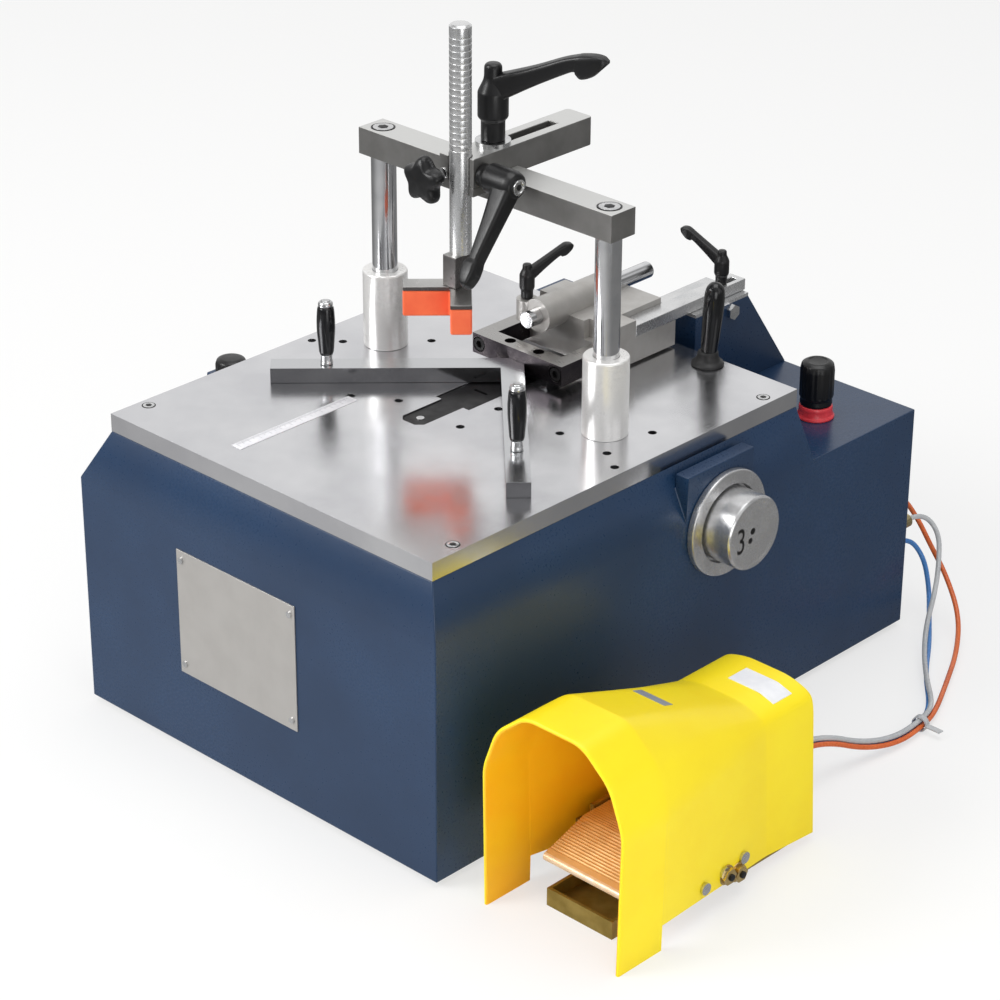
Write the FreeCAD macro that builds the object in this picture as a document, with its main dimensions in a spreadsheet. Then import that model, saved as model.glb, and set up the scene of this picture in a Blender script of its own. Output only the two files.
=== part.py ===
import FreeCAD, Part
import math
import os
import re
import Sketcher

# Bench pneumatic underpinner for picture frames, in millimetres.
# Origin: centre of the machine's base on the bench. +X is the operator's right, +Y the rear, +Z up.

DRIVING = {
    # casing, base, table and feet
    "case_side": 19, "case_depth": 522, "case_sheet": 2, "base_rise": 5, "base_sheet": 4,
    "band_height": 38, "foot_radius": 14, "foot_inset": 28, "foot_hole": 3.3, "rim": 3,
    "table_top": 242, "table_thick": 14, "table_width": 330, "table_setback": 16.5, "deck_depth": 123.5,
    "tapped_radius": 3.2, "table_screw_edge": 9, "table_screw_end": 28.5, "table_screw_radius": 2.6,
    "table_screw_head": 4.4, "countersink": 4, "side_plate_thick": 10, "side_plate_edge": 5,
    "side_plate_inset": 18, "slot_front": -50, "slot_step": -5, "slot_back": 88, "slot_half": 11,
    "slot_wide_half": 17, "slot_chamfer": 5, "cover_gap": 0.3, "cover_drop": 1, "cover_screw_radius": 3,
    "cover_screw_thick": 0.6, "cover_screw_back": 12, "rule_x": -58, "rule_width": 10,
    "rule_front": -165, "rule_back": -50, "rule_thick": 0.6,
    # label plate
    "label_width": 124, "label_height": 101, "label_thick": 1, "label_x": -15.5, "label_z": 119.5,
    "rivet_inset_x": 5, "rivet_inset_z": 7.8, "rivet_radius": 2.4, "rivet_thick": 1.2,
    # press columns and crossbar
    "column_edge": 52.5, "column_back": 37, "column_radius": 17, "column_rise": 61, "column_chamfer": 1,
    "press_rod_radius": 9.5, "running_gap": 0.05, "barrel_radius": 22, "barrel_wall": 4, "barrel_cap": 8,
    "barrel_length": 148, "piston_thick": 14, "piston_gap": 5, "piston_side_gap": 0.3,
    "crossbar_rise": 153.3, "crossbar_width": 25, "crossbar_height": 20.7, "crossbar_over": 13.3,
    "cap_screw_radius": 4, "cap_head_radius": 9, "cap_head_depth": 6, "cap_screw_reach": 40,
    "key_radius": 4, "key_depth": 3, "screw_gap": 0.15,
    # slotted arm, its stud and clamping lever
    "arm_width": 25, "arm_height": 22, "arm_seat": 5.5, "arm_front": 4, "arm_back": 129,
    "arm_chamfer": 2, "arm_slot_width": 9, "arm_slot_front": 31.5, "arm_slot_back": 100.5,
    "arm_stud_radius": 4, "arm_stud_above": 30, "slide_gap": 0.2, "washer_radius": 13,
    "washer_thick": 3.5,
    # clamp head, vertical rod and pressure pad
    "head_left": 21, "head_back": 22, "head_foot": 162, "head_top": 187, "groove_gap": 0.3,
    "clamp_rod_radius": 8, "clamp_rod_top": 288, "clamp_rod_foot": 117, "notch_low": 218,
    "notch_pitch": 4.6, "notch_depth": 0.7, "notch_flank": 1.15, "notch_count": 14, "rod_chamfer": 1.5,
    "holder_width": 13, "holder_depth": 24, "holder_foot": 93, "pad_arm": 42, "pad_width": 15.6,
    "pad_height": 20, "pad_plate": 3, "fence_angle": 45, "star_x": 16.7, "star_z": 173,
    "star_radius": 17.5, "star_thick": 15, "star_reach": 30, "star_lobe": 5, "star_lobes": 5,
    "star_screw_radius": 3, "star_hub_radius": 6.5, "star_screw_depth": 12,
    # clamping levers
    "top_hub_radius": 10.7, "top_waist_radius": 8.3, "top_waist_height": 14, "top_hub_height": 47,
    "top_button_radius": 6, "top_button_height": 10, "top_reach": 84, "top_rise": 26,
    "top_arm_height": 39, "top_root_radius": 6.5, "top_tip_radius": 6, "rod_hub_radius": 10.7,
    "rod_waist_radius": 8.3, "rod_waist_height": 6, "rod_hub_height": 34, "rod_button_radius": 4.5,
    "rod_button_height": 3, "rod_reach": 79, "rod_rise": 6, "rod_arm_height": 26,
    "rod_root_radius": 6.5, "rod_tip_radius": 5.5, "rod_lever_back": 13.5, "rod_lever_z": 176.7,
    "rod_stud_radius": 3, "rod_stud_length": 6.5, "lever_drop": 62.7, "lever_forward": 48.5,
    "small_hub_radius": 5.8, "small_waist_radius": 4.6, "small_waist_height": 7, "small_hub_height": 24,
    "small_button_radius": 3.4, "small_button_height": 5, "small_reach": 36, "small_rise": 16,
    "small_arm_height": 20, "small_root_radius": 3.4, "small_tip_radius": 3.2, "small_stud_radius": 2.5,
    "small_stud_length": 8, "top_heading": 22, "sleeve_heading": 66, "rail_heading": 190,
    # fences, nose block and carriage
    "fence_width": 17.4, "fence_thick": 5, "fence_top": 12, "left_fence": 188, "right_fence": 207, "apex_back": 46, "gusset_front": 64,
    "gusset_back": 100, "gusset_half": 30, "nose_half": 45.5, "nose_front": 63, "nose_back": 112,
    "nose_height": 16, "nose_bar": 14, "nose_cheek": 13, "fence_screw_x": 14.5,
    "fence_screw_back": 71.5, "fence_screw_radius": 2.5, "fence_screw_head": 4.2, "fence_head_thick": 4,
    "nose_screw_x": 39, "nose_screw_radius": 3, "nose_screw_head": 5.2, "nose_head_depth": 6,
    "nose_bore_radius": 6, "stop_x": -5, "sleeve_radius": 13, "sleeve_front": 90, "sleeve_back": 165,
    "stop_rod_radius": 6.5, "stop_rod_rise": 38.5, "stop_rod_front": 78, "stop_rod_back": 215,
    "saddle_left": 20, "saddle_right": 50, "saddle_front": 118, "saddle_aft": 129.5, "saddle_top": 36,
    "saddle_foot": 2, "flange_thick": 8, "boss_x": 20, "boss_back": 95, "boss_radius": 8,
    "boss_top": 47, "rib_half": 7, "rib_front": 106, "rib_back": 134, "rib_top": 51, "rail_left": 35,
    "rail_foot": 22.2, "rail_top": 31.5, "rail_front": 140, "rail_aft": 47.5, "rail_slot_ahead": 12,
    "rail_slot_behind": 16, "rail_slot_half": 2.8, "left_grip_x": 97.3, "right_grip_x": 104, "grip_radius": 6.9,
    "grip_neck_radius": 4.4, "grip_neck": 8, "grip_body": 48, "grip_dome": 3, "grip_stud_radius": 3,
    "grip_stud_length": 4,
    # tower on the rear deck
    "tower_right": 55, "tower_left": 12, "tower_front": 111.5, "cap_margin": 19, "tower_rise": 22,
    "tower_sheet": 3, "tower_bolt_behind": -1.4, "tower_bolt_drop": 9.5, "tower_bolt_radius": 6.2,
    "tower_bolt_thick": 4, "rail_lever_x": 43, "rail_lever_aft": 68.5,
    # upright hand lever
    "hand_x": 88.5, "hand_aft": 136, "hand_radius": 8, "hand_rise": 50, "hand_dome": 17,
    "dome_wide": 0.87, "dome_low": 0.5, "boot_radius": 12.5, "boot_neck_radius": 10.8,
    "boot_height": 11.5, "boot_foot": 3, "boot_bore": 10, "hand_pivot": 6, "hand_pin_radius": 1.5,
    "hand_foot": 2,
    # dial on the right side
    "dial_back": 88, "dial_height": 177.5, "dial_flange_radius": 41, "dial_flange_thick": 6,
    "dial_knob_radius": 28.5, "dial_knob_length": 21, "dial_knob_chamfer": 2, "dial_gap": 2.5,
    "dial_spindle_radius": 4, "dial_spindle_length": 6.5, "dial_groove_outer": 36,
    "dial_groove_inner": 33, "dial_groove_depth": 1, "bump_thick": 12, "bump_front": 47,
    "bump_back": 120, "bump_drop": 2,
    # regulator on the rear deck and knob on the left side
    "regulator_side": 48, "regulator_aft": 62.5, "regulator_radius": 13.3, "regulator_height": 35.5,
    "collar_radius": 14.6, "collar_height": 10.5, "collar_gap": 0.3, "neck_radius": 9, "post_radius": 5,
    "post_height": 30, "side_knob_out": 3, "side_knob_back": -60, "side_knob_radius": 12,
    "side_knob_height": 13, "bracket_out": 12, "bracket_in": 19, "bracket_height": 30,
    "bracket_half": 12, "side_post_radius": 4, "side_post_height": 11,
    # nail driver and magazine under the table
    "driver_back": 25, "driver_barrel_radius": 30, "driver_barrel_height": 110, "driver_wall": 4,
    "driver_rod_radius": 8, "driver_piston_thick": 14, "driver_piston_lift": 16, "blade_foot": 160,
    "blade_top": 226, "blade_width": 12, "blade_thick": 2, "blade_gap": 0.3, "magazine_half": 26,
    "magazine_height": 50, "magazine_margin": 8, "pusher_half": 6, "pusher_height": 20,
    "pusher_depth": 10, "pusher_rise": 14, "pusher_back": 70,
    # foot pedal
    "pedal_x": 281, "pedal_front": -250.5, "pedal_length": 222, "guard_wall": 3, "guard_skirt": 43,
    "guard_lift_front": 20, "guard_lift_rear": 5, "guard_bend_front": 44, "guard_bend_rear": 169,
    "guard_foot": 62, "guard_hip": 64, "guard_hip_z": 109, "guard_shoulder": 52,
    "guard_shoulder_z": 142, "guard_crown": 26, "guard_top": 164, "rear_foot": 48, "rear_hip": 42.5,
    "rear_hip_z": 106, "rear_shoulder": 39.5, "rear_shoulder_z": 116, "rear_crown": 20, "rear_top": 122,
    "pedal_base_half": 41, "tray_half": 30, "tray_wall": 2.5, "tray_height": 14,
    "pedal_base_front": 29, "pedal_base_sheet": 3, "pedal_flange": 52,
    "bracket_front": 84, "bracket_length": 76, "bracket_top": 34, "bracket_foot": 17,
    "guard_screw_radius": 2.5, "guard_screw_head": 4.5, "head_gap": 0.8, "guard_screw_thick": 2,
    "guard_screw_front": 92, "guard_screw_step": 24, "guard_screw_z": 24, "treadle_half": 37,
    "treadle_front": 33, "treadle_nose_z": 37, "treadle_heel_z": 50, "treadle_rise_y": 73,
    "treadle_back": 140, "treadle_thick": 6, "pivot_back": 128, "pivot_height": 40, "pivot_radius": 3,
    "lug_x": 28, "lug_thick": 5, "lug_radius": 8, "eye_radius": 6, "lug_foot": 14, "valve_front": 138,
    "valve_length": 52, "valve_half": 20, "valve_height": 34, "plunger_radius": 4, "plunger_height": 20,
    "plunger_length": 30, "plunger_bore": 44, "contact_gap": 0.3,
    # air lines
    "tube_radius": 2, "fitting_radius": 5.5, "fitting_length": 16, "pedal_fitting_radius": 4.5,
    "pedal_fitting_length": 14, "pedal_fitting_step": 11, "pedal_fitting_z": 28, "tie_width": 5,
    "tube_lead": 24, "tie_inner": 5.2, "tie_wall": 1, "tie_tail": 14,
}

doc = FreeCAD.newDocument("underpinner")
sheet = doc.addObject("Spreadsheet::Sheet", "Sizes")
for row, (alias, number) in enumerate(DRIVING.items(), start=1):
    sheet.set(f"A{row}", alias)
    sheet.set(f"B{row}", str(number))
    sheet.setAlias(f"B{row}", alias)
doc.recompute()

AXES = {
    "x": FreeCAD.Rotation(FreeCAD.Vector(0, 1, 0), 90),
    "y": FreeCAD.Rotation(FreeCAD.Vector(1, 0, 0), -90),
    "z": FreeCAD.Rotation(),
}
PLANES = {"XY": "XY_Plane", "XZ": "XZ_Plane", "YZ": "YZ_Plane"}

# Places that several pieces share, written with the names of the sheet
TABLE_FRONT = "(table_setback - case_depth / 2)"
TABLE_REAR = "(case_depth / 2 - deck_depth)"
TABLE_MID = f"(({TABLE_FRONT} + {TABLE_REAR}) / 2)"
TABLE_UNDER = "(table_top - table_thick)"
CASE_HALF = "(table_width / 2 + case_side)"
COLUMN_X = "(table_width / 2 - column_edge)"
BEND_Z = f"({TABLE_UNDER} - band_height)"
BUMP_TOP = f"({TABLE_UNDER} - bump_drop)"
CASE_BACK = "(case_depth / 2)"
BASE_TOP = "(base_rise + base_sheet)"
COLUMN_Y = f"({TABLE_MID} + column_back)"
CROSSBAR_Z = "(table_top + crossbar_rise)"
CROSSBAR_TOP = f"({CROSSBAR_Z} + crossbar_height)"
ARM_Z = f"({CROSSBAR_TOP} - arm_seat)"
ARM_TOP = f"({ARM_Z} + arm_height)"
ROD_Y = f"({TABLE_MID} + arm_front)"
HOLDER_Z = "(table_top + holder_foot)"
PLATE_Z = f"({HOLDER_Z} - pad_plate)"
FENCE_Z = "(table_top + slide_gap)"
NOSE_Z = f"({FENCE_Z} + fence_thick)"
STOP_Z = "(table_top + stop_rod_rise)"
DRIVER_Y = f"({TABLE_MID} + driver_back)"
TOWER_TOP = "(table_top + tower_rise)"
RAIL_Z = "(table_top + rail_foot)"
RAIL_LEVER_Y = f"({CASE_BACK} - rail_lever_aft)"
TOWER_CREST = f"({RAIL_LEVER_Y} + cap_margin)"
MAGAZINE_Z = f"({TABLE_UNDER} - magazine_height)"
PIVOT_Y = "(pedal_front + pivot_back)"
VALVE_BACK = "(pedal_front + valve_front + valve_length)"


def deep(distance):
    """A distance behind the middle of the table, as a place along Y."""
    return f"({TABLE_MID} + {distance})"


def aft(distance):
    """A distance in front of the casing's back, as a place along Y."""
    return f"({CASE_BACK} - {distance})"


FUNCTIONS = ("sqrt", "cos", "sin", "tan")


def bound(text):
    """Turns a formula in plain names into one that reads the sheet."""
    def named(match):
        word = match.group(0)
        return word if word in FUNCTIONS else "Sizes." + word

    return re.sub(r"[a-z][a-z_]+", named, str(text))


def bind(thing, prop, text):
    thing.setExpression(prop, bound(text))


def size(alias):
    return float(sheet.get(alias))


def place(thing, x, y, z, rotation=None):
    if rotation is not None:
        thing.Placement = FreeCAD.Placement(FreeCAD.Vector(), rotation)
    bind(thing, "Placement.Base.x", x)
    bind(thing, "Placement.Base.y", y)
    bind(thing, "Placement.Base.z", z)
    return thing


def box(x, y, z, length, width, height, rotation=None):
    thing = doc.addObject("Part::Box", "Block")
    bind(thing, "Length", length)
    bind(thing, "Width", width)
    bind(thing, "Height", height)
    return place(thing, x, y, z, rotation)


def rod(x, y, z, radius, length, axis="z", rotation=None):
    thing = doc.addObject("Part::Cylinder", "Round")
    bind(thing, "Radius", radius)
    bind(thing, "Height", length)
    return place(thing, x, y, z, rotation or AXES[axis])


def cone(x, y, z, radius_low, radius_high, height, axis="z", rotation=None):
    thing = doc.addObject("Part::Cone", "Taper")
    bind(thing, "Radius1", radius_low)
    bind(thing, "Radius2", radius_high)
    bind(thing, "Height", height)
    return place(thing, x, y, z, rotation or AXES[axis])


def hexagon(x, y, z, radius, height, axis="z"):
    thing = doc.addObject("Part::Prism", "Hexagon")
    thing.Polygon = 6
    bind(thing, "Circumradius", radius)
    bind(thing, "Height", height)
    return place(thing, x, y, z, AXES[axis])


def join(*things):
    thing = doc.addObject("Part::MultiFuse", "Joined")
    thing.Shapes = list(things)
    return thing


def cut(base, *tools):
    thing = doc.addObject("Part::Cut", "Cut")
    thing.Base = base
    thing.Tool = tools[0] if len(tools) == 1 else join(*tools)
    return thing


def group(*things):
    thing = doc.addObject("Part::Compound", "Group")
    thing.Links = list(things)
    return thing


def mirrored(thing):
    twin = doc.addObject("Part::Mirroring", "Mirrored")
    twin.Source = thing
    twin.Base = FreeCAD.Vector(0, 0, 0)
    twin.Normal = FreeCAD.Vector(1, 0, 0)
    return twin


def both_sides(thing):
    return group(thing, mirrored(thing))


def solid_feature(name, shape):
    thing = doc.addObject("Part::Feature", name)
    thing.Shape = shape
    return thing


NODES = {}


def node(name, thing):
    thing.Label = name
    NODES[name] = thing
    return thing


def sketch_on(body, plane, offset, loops, circles=()):
    """Draws closed outlines and circles whose points are bound to the sheet."""
    sketch = body.newObject("Sketcher::SketchObject", "Outline")
    role = PLANES[plane]
    support = [item for item in body.Origin.OriginFeatures if item.Role == role][0]
    sketch.AttachmentSupport = [(support, "")]
    sketch.MapMode = "FlatFace"
    bind(sketch, "AttachmentOffset.Base.z", offset)
    doc.recompute()
    for points in loops:
        first = sketch.GeometryCount
        count = len(points)
        for index in range(count):
            start = seed(points[index])
            end = seed(points[(index + 1) % count])
            sketch.addGeometry(Part.LineSegment(start, end), False)
        for index in range(count):
            line = first + index
            after = first + (index + 1) % count
            sketch.addConstraint(Sketcher.Constraint("Coincident", line, 2, after, 1))
        for index, (across, along) in enumerate(points):
            pin(sketch, first + index, 1, across, along)
    for across, along, radius in circles:
        centre = seed((across, along))
        circle = sketch.addGeometry(Part.Circle(centre, FreeCAD.Vector(0, 0, 1), figure(radius)), False)
        pin(sketch, circle, 3, across, along)
        index = sketch.addConstraint(Sketcher.Constraint("Radius", circle, figure(radius)))
        bind(sketch, f"Constraints[{index}]", radius)
    return sketch


def pin(sketch, shape, point, across, along):
    for kind, text in (("DistanceX", across), ("DistanceY", along)):
        index = sketch.addConstraint(Sketcher.Constraint(kind, -1, 1, shape, point, figure(text)))
        bind(sketch, f"Constraints[{index}]", text)


def figure(text):
    """The present value of a formula."""
    return float(sheet.evalExpression(bound(text)))


def seed(point):
    return FreeCAD.Vector(figure(point[0]), figure(point[1]), 0)


def pad(plane, offset, loops, length, circles=(), name="Body"):
    """A body made of one padded outline."""
    body = doc.addObject("PartDesign::Body", name)
    sketch = sketch_on(body, plane, offset, loops, circles)
    doc.recompute()
    feature = body.newObject("PartDesign::Pad", "Pad")
    feature.Profile = sketch
    bind(feature, "Length", length)
    doc.recompute()
    return body


def rectangle(x_low, x_high, y_low, y_high):
    return [(x_low, y_low), (x_high, y_low), (x_high, y_high), (x_low, y_high)]


def turned(outline, axis, x, y, z, rotation=None):
    """A body turned about its axis from (radius, height) points."""
    body = doc.addObject("PartDesign::Body", "Turned")
    sketch = sketch_on(body, "XZ", 0, [outline])
    doc.recompute()
    feature = body.newObject("PartDesign::Revolution", "Revolution")
    feature.Profile = sketch
    feature.ReferenceAxis = (sketch, ["V_Axis"])
    feature.Angle = 360
    place(body, x, y, z, rotation or AXES[axis])
    doc.recompute()
    return body


def aim(axis, side):
    """The turn that takes local Z to one direction and local X to another."""
    up = FreeCAD.Vector(*axis)
    across = FreeCAD.Vector(*side)
    return FreeCAD.Rotation(across, up.cross(across), up, "ZXY")


def span(x_low, x_high, y_low, y_high, z_low, z_high):
    """A block given by its faces."""
    return box(x_low, y_low, z_low, f"{x_high} - ({x_low})", f"{y_high} - ({y_low})", f"{z_high} - ({z_low})")


def frustum(inset, low, high, front_gap):
    """The slanted band between the bend of the casing and the table, drawn in by a wall."""
    thing = doc.addObject("Part::Wedge", "Band")
    bind(thing, "Xmin", f"-{CASE_HALF} + {inset}")
    bind(thing, "Xmax", f"{CASE_HALF} - {inset}")
    bind(thing, "X2min", f"-table_width / 2 + {front_gap}")
    bind(thing, "X2max", f"table_width / 2 - {front_gap}")
    bind(thing, "Ymin", low)
    bind(thing, "Ymax", high)
    bind(thing, "Zmin", f"-{TABLE_REAR} + {inset}")
    bind(thing, "Z2min", f"-{TABLE_REAR} + {inset}")
    bind(thing, "Zmax", f"{CASE_BACK} - {inset}")
    bind(thing, "Z2max", f"-{TABLE_FRONT} - {front_gap}")
    thing.Placement = FreeCAD.Placement(FreeCAD.Vector(), FreeCAD.Rotation(FreeCAD.Vector(1, 0, 0), 90))
    return thing


def corner_rods(x, y, z, radius, length):
    """Four upright rounds at the corners of a rectangle about the origin."""
    return group(*[rod(f"{sx} * ({x})", f"{sy} * ({y})", z, radius, length) for sx in (-1, 1) for sy in (-1,
                                                                                                         1)])


def make_casing():
    inner_half = f"{CASE_HALF} - case_sheet"
    outer = join(
        span(f"-{CASE_HALF}", CASE_HALF, f"-{CASE_BACK}", CASE_BACK, "base_rise", BEND_Z),
        frustum("0", BEND_Z, TABLE_UNDER, "0"),
        span(f"{CASE_HALF} - bump_thick", CASE_HALF, deep("bump_front"), deep("bump_back"),
             BEND_Z, BUMP_TOP),
    )
    hollow = join(
        span(f"-({inner_half})", inner_half, f"-{CASE_BACK} + case_sheet", CASE_BACK,
             "base_rise", f"{BEND_Z} - case_sheet"),
        frustum("case_sheet", f"{BEND_Z} - case_sheet", TABLE_UNDER, "rim"),
    )
    ledge_low = deep("side_knob_back - bracket_half")
    ledge_high = deep("side_knob_back + bracket_half")
    bracket = join(
        span(f"-{CASE_HALF} - bracket_out", f"-{CASE_HALF}", ledge_low, ledge_high,
             f"{BUMP_TOP} - bracket_height", BUMP_TOP),
        span(f"-{CASE_HALF}", f"-{CASE_HALF} + bracket_in", ledge_low, ledge_high, BEND_Z, BUMP_TOP),
    )
    node("casing", cut(join(outer, bracket), hollow))
    panel = span(f"-({inner_half})", inner_half, f"{CASE_BACK} - case_sheet", CASE_BACK,
                 BASE_TOP, f"{BEND_Z} - case_sheet")
    node("rear_panel", panel)


def make_base():
    bolt_x = f"{CASE_HALF} - foot_inset"
    bolt_y = f"{CASE_BACK} - foot_inset"
    plate = span(f"-{CASE_HALF} + case_sheet", f"{CASE_HALF} - case_sheet", f"-{CASE_BACK} + case_sheet",
                 CASE_BACK, "base_rise", BASE_TOP)
    bolts = corner_rods(bolt_x, bolt_y, "0", "foot_hole", "2 * base_rise + base_sheet")
    feet = corner_rods(bolt_x, bolt_y, "0", "foot_radius", "base_rise")
    node("rubber_feet", cut(feet, corner_rods(bolt_x, bolt_y, "0", "foot_hole", "base_rise")))
    plate_out = "table_width / 2 - side_plate_edge"
    side = span(f"{plate_out} - side_plate_thick", plate_out, f"{TABLE_FRONT} + side_plate_inset",
                f"{TABLE_REAR} - side_plate_inset", BASE_TOP, TABLE_UNDER)
    node("base_frame", join(cut(plate, bolts), side, mirrored(side)))


# Places of the tapped holes, as shares of the half width and half depth of the table
TAPPED_HOLES = [
    (-0.9424, 0), (0.9424, 0), (-0.8315, 0.0796), (0.8285, 0.066),
    (-0.5455, 0.3325), (0.8327, 0.3168), (0.1867, 0.0613), (0.5497, 0.0686),
    (-0.3794, -0.2497), (-0.1897, -0.1524), (0.1939, -0.1529),
]


def slot_outline(gap):
    """The stepped opening in the table, narrow at the front and wide at the rear."""
    narrow = f"(slot_half - {gap})"
    wide = f"(slot_wide_half - {gap})"
    front = f"({deep('slot_front')} + {gap})"
    step = f"({deep('slot_step')} + {gap})"
    back = f"({deep('slot_back')} - {gap})"
    right = [
        (f"{narrow} - slot_chamfer", front), (narrow, f"{front} + slot_chamfer"), (narrow, step),
        (wide, step), (wide, back),
    ]
    left = [(f"-({across})", along) for across, along in reversed(right)]
    return right + left


def make_table():
    outline = rectangle("-table_width / 2", "table_width / 2", TABLE_FRONT, TABLE_REAR)
    plate = pad("XY", TABLE_UNDER, [outline, slot_outline("0")], "table_thick", name="TablePlate")
    bores = both_sides(rod(COLUMN_X, COLUMN_Y, TABLE_UNDER, "press_rod_radius + groove_gap", "table_thick"))
    tapped = group(*[
        rod(f"{across} * table_width / 2", f"{TABLE_MID} + ({along}) * ({TABLE_REAR} - {TABLE_FRONT}) / 2",
            TABLE_UNDER, "tapped_radius", "table_thick")
        for across, along in TAPPED_HOLES
    ])
    corners = group(*[table_screw_hole(sx, sy) for sx in (-1, 1) for sy in (-1, 1)])
    hand = rod("hand_x", aft("hand_aft"), TABLE_UNDER, "hand_radius", "table_thick")
    node("table", cut(plate, bores, tapped, corners, hand))
    screws = [table_screw(sx, sy) for sx in (-1, 1) for sy in (-1, 1)]
    cover = pad("XY", TABLE_UNDER, [slot_outline("cover_gap")], "table_thick - cover_drop", name="SlotCover")
    blade = span("-blade_width / 2 - blade_gap", "blade_width / 2 + blade_gap",
                 f"{DRIVER_Y} - blade_thick / 2 - blade_gap", f"{DRIVER_Y} + blade_thick / 2 + blade_gap",
                 TABLE_UNDER, "table_top")
    node("magazine_cover", cut(cover, blade))
    head = rod("0", deep("slot_front + cover_screw_back"), "table_top - cover_drop", "cover_screw_radius",
               "cover_screw_thick")
    bolt = hexagon("tower_right", f"{RAIL_LEVER_Y} + tower_bolt_behind", f"{TOWER_TOP} - tower_bolt_drop",
                   "tower_bolt_radius", "tower_bolt_thick", "x")
    node("machine_screws", group(*screws, head, bolt))
    rule = span("rule_x - rule_width / 2", "rule_x + rule_width / 2", deep("rule_front"), deep("rule_back"),
                "table_top", "table_top + rule_thick")
    node("rule_strip", rule)


def table_screw_hole(sx, sy):
    x = f"{sx} * (table_width / 2 - table_screw_edge)"
    y = f"{TABLE_MID} + {sy} * (({TABLE_REAR} - {TABLE_FRONT}) / 2 - table_screw_end)"
    shank = rod(x, y, TABLE_UNDER, "table_screw_radius + screw_gap", "table_thick")
    return group(shank, rod(x, y, "table_top - countersink", "table_screw_head + screw_gap", "countersink"))


def table_screw(sx, sy):
    x = f"{sx} * (table_width / 2 - table_screw_edge)"
    y = f"{TABLE_MID} + {sy} * (({TABLE_REAR} - {TABLE_FRONT}) / 2 - table_screw_end)"
    shank = rod(x, y, TABLE_UNDER, "table_screw_radius", "table_thick - countersink")
    head = rod(x, y, "table_top - countersink", "table_screw_head", "countersink - slide_gap")
    key = hexagon(x, y, "table_top - key_depth", "table_screw_radius", "key_depth")
    return cut(join(shank, head), key)


def make_label():
    front = f"-{CASE_BACK} - label_thick"
    plate = span("label_x - label_width / 2", "label_x + label_width / 2", front, f"-{CASE_BACK}",
                 "label_z - label_height / 2", "label_z + label_height / 2")
    node("label_plate", plate)
    across = "label_width / 2 - rivet_inset_x"
    along = "label_height / 2 - rivet_inset_z"
    rivets = [
        rod(f"label_x + {sx} * ({across})", f"{front} - rivet_thick", f"label_z + {sz} * ({along})",
            "rivet_radius", "rivet_thick", "y")
        for sx in (-1, 1) for sz in (-1, 1)
    ]
    node("label_rivets", group(*rivets))


def make_press():
    tube = turned([
        ("press_rod_radius + running_gap", "0"), ("column_radius", "0"),
        ("column_radius", "column_rise - column_chamfer"), ("column_radius - column_chamfer", "column_rise"),
        ("press_rod_radius + running_gap", "column_rise"),
    ], "z", COLUMN_X, COLUMN_Y, "table_top")
    node("column_tubes", both_sides(tube))
    piston_top = f"{TABLE_UNDER} - barrel_cap - piston_gap"
    shaft = rod(COLUMN_X, COLUMN_Y, f"{piston_top} - piston_thick", "press_rod_radius",
                f"{CROSSBAR_Z} - ({piston_top}) + piston_thick")
    piston = rod(COLUMN_X, COLUMN_Y, f"{piston_top} - piston_thick",
                 "barrel_radius - barrel_wall - piston_side_gap", "piston_thick")
    tapping = rod(COLUMN_X, COLUMN_Y, f"{CROSSBAR_TOP} - cap_screw_reach - slide_gap",
                  "cap_screw_radius + screw_gap", "cap_screw_reach")
    node("press_rods", both_sides(cut(join(shaft, piston), tapping)))
    barrel = rod(COLUMN_X, COLUMN_Y, f"{TABLE_UNDER} - barrel_length", "barrel_radius", "barrel_length")
    bore = rod(COLUMN_X, COLUMN_Y, f"{TABLE_UNDER} - barrel_length + barrel_cap",
               "barrel_radius - barrel_wall",
               "barrel_length - 2 * barrel_cap")
    throat = rod(COLUMN_X, COLUMN_Y, f"{TABLE_UNDER} - barrel_length / 2",
                 "press_rod_radius + running_gap", "barrel_length / 2")
    node("press_cylinders", both_sides(cut(barrel, bore, throat)))
    beam = span(f"-{COLUMN_X} - crossbar_over", f"{COLUMN_X} + crossbar_over",
                f"{COLUMN_Y} - crossbar_width / 2",
                f"{COLUMN_Y} + crossbar_width / 2", CROSSBAR_Z, CROSSBAR_TOP)
    groove = span("-arm_width / 2 - slide_gap", "arm_width / 2 + slide_gap",
                  f"{COLUMN_Y} - crossbar_width / 2",
                  f"{COLUMN_Y} + crossbar_width / 2", ARM_Z, CROSSBAR_TOP)
    screw_hole = rod(COLUMN_X, COLUMN_Y, CROSSBAR_Z, "cap_screw_radius + screw_gap", "crossbar_height")
    head_hole = rod(COLUMN_X, COLUMN_Y, f"{CROSSBAR_TOP} - cap_head_depth", "cap_head_radius + screw_gap",
                    "cap_head_depth")
    stud_hole = rod("0", COLUMN_Y, CROSSBAR_Z, "arm_stud_radius + screw_gap", "crossbar_height")
    node("crossbar", cut(beam, groove, both_sides(screw_hole), both_sides(head_hole), stud_hole))
    head = cone(COLUMN_X, COLUMN_Y, f"{CROSSBAR_TOP} - cap_head_depth", "cap_head_radius",
                "cap_head_radius", "cap_head_depth - slide_gap")
    screw = rod(COLUMN_X, COLUMN_Y, f"{CROSSBAR_TOP} - cap_screw_reach", "cap_screw_radius",
                "cap_screw_reach - cap_head_depth")
    key = hexagon(COLUMN_X, COLUMN_Y, f"{CROSSBAR_TOP} - slide_gap - key_depth", "key_radius", "key_depth")
    stud = rod("0", COLUMN_Y, CROSSBAR_Z, "arm_stud_radius", f"{ARM_TOP} - {CROSSBAR_Z} + arm_stud_above")
    washer = cut(rod("0", COLUMN_Y, ARM_TOP, "washer_radius", "washer_thick"),
                 rod("0", COLUMN_Y, ARM_TOP, "arm_stud_radius + screw_gap", "washer_thick"))
    node("bridge_screws", group(both_sides(cut(join(head, screw), key)), stud, washer))


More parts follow.
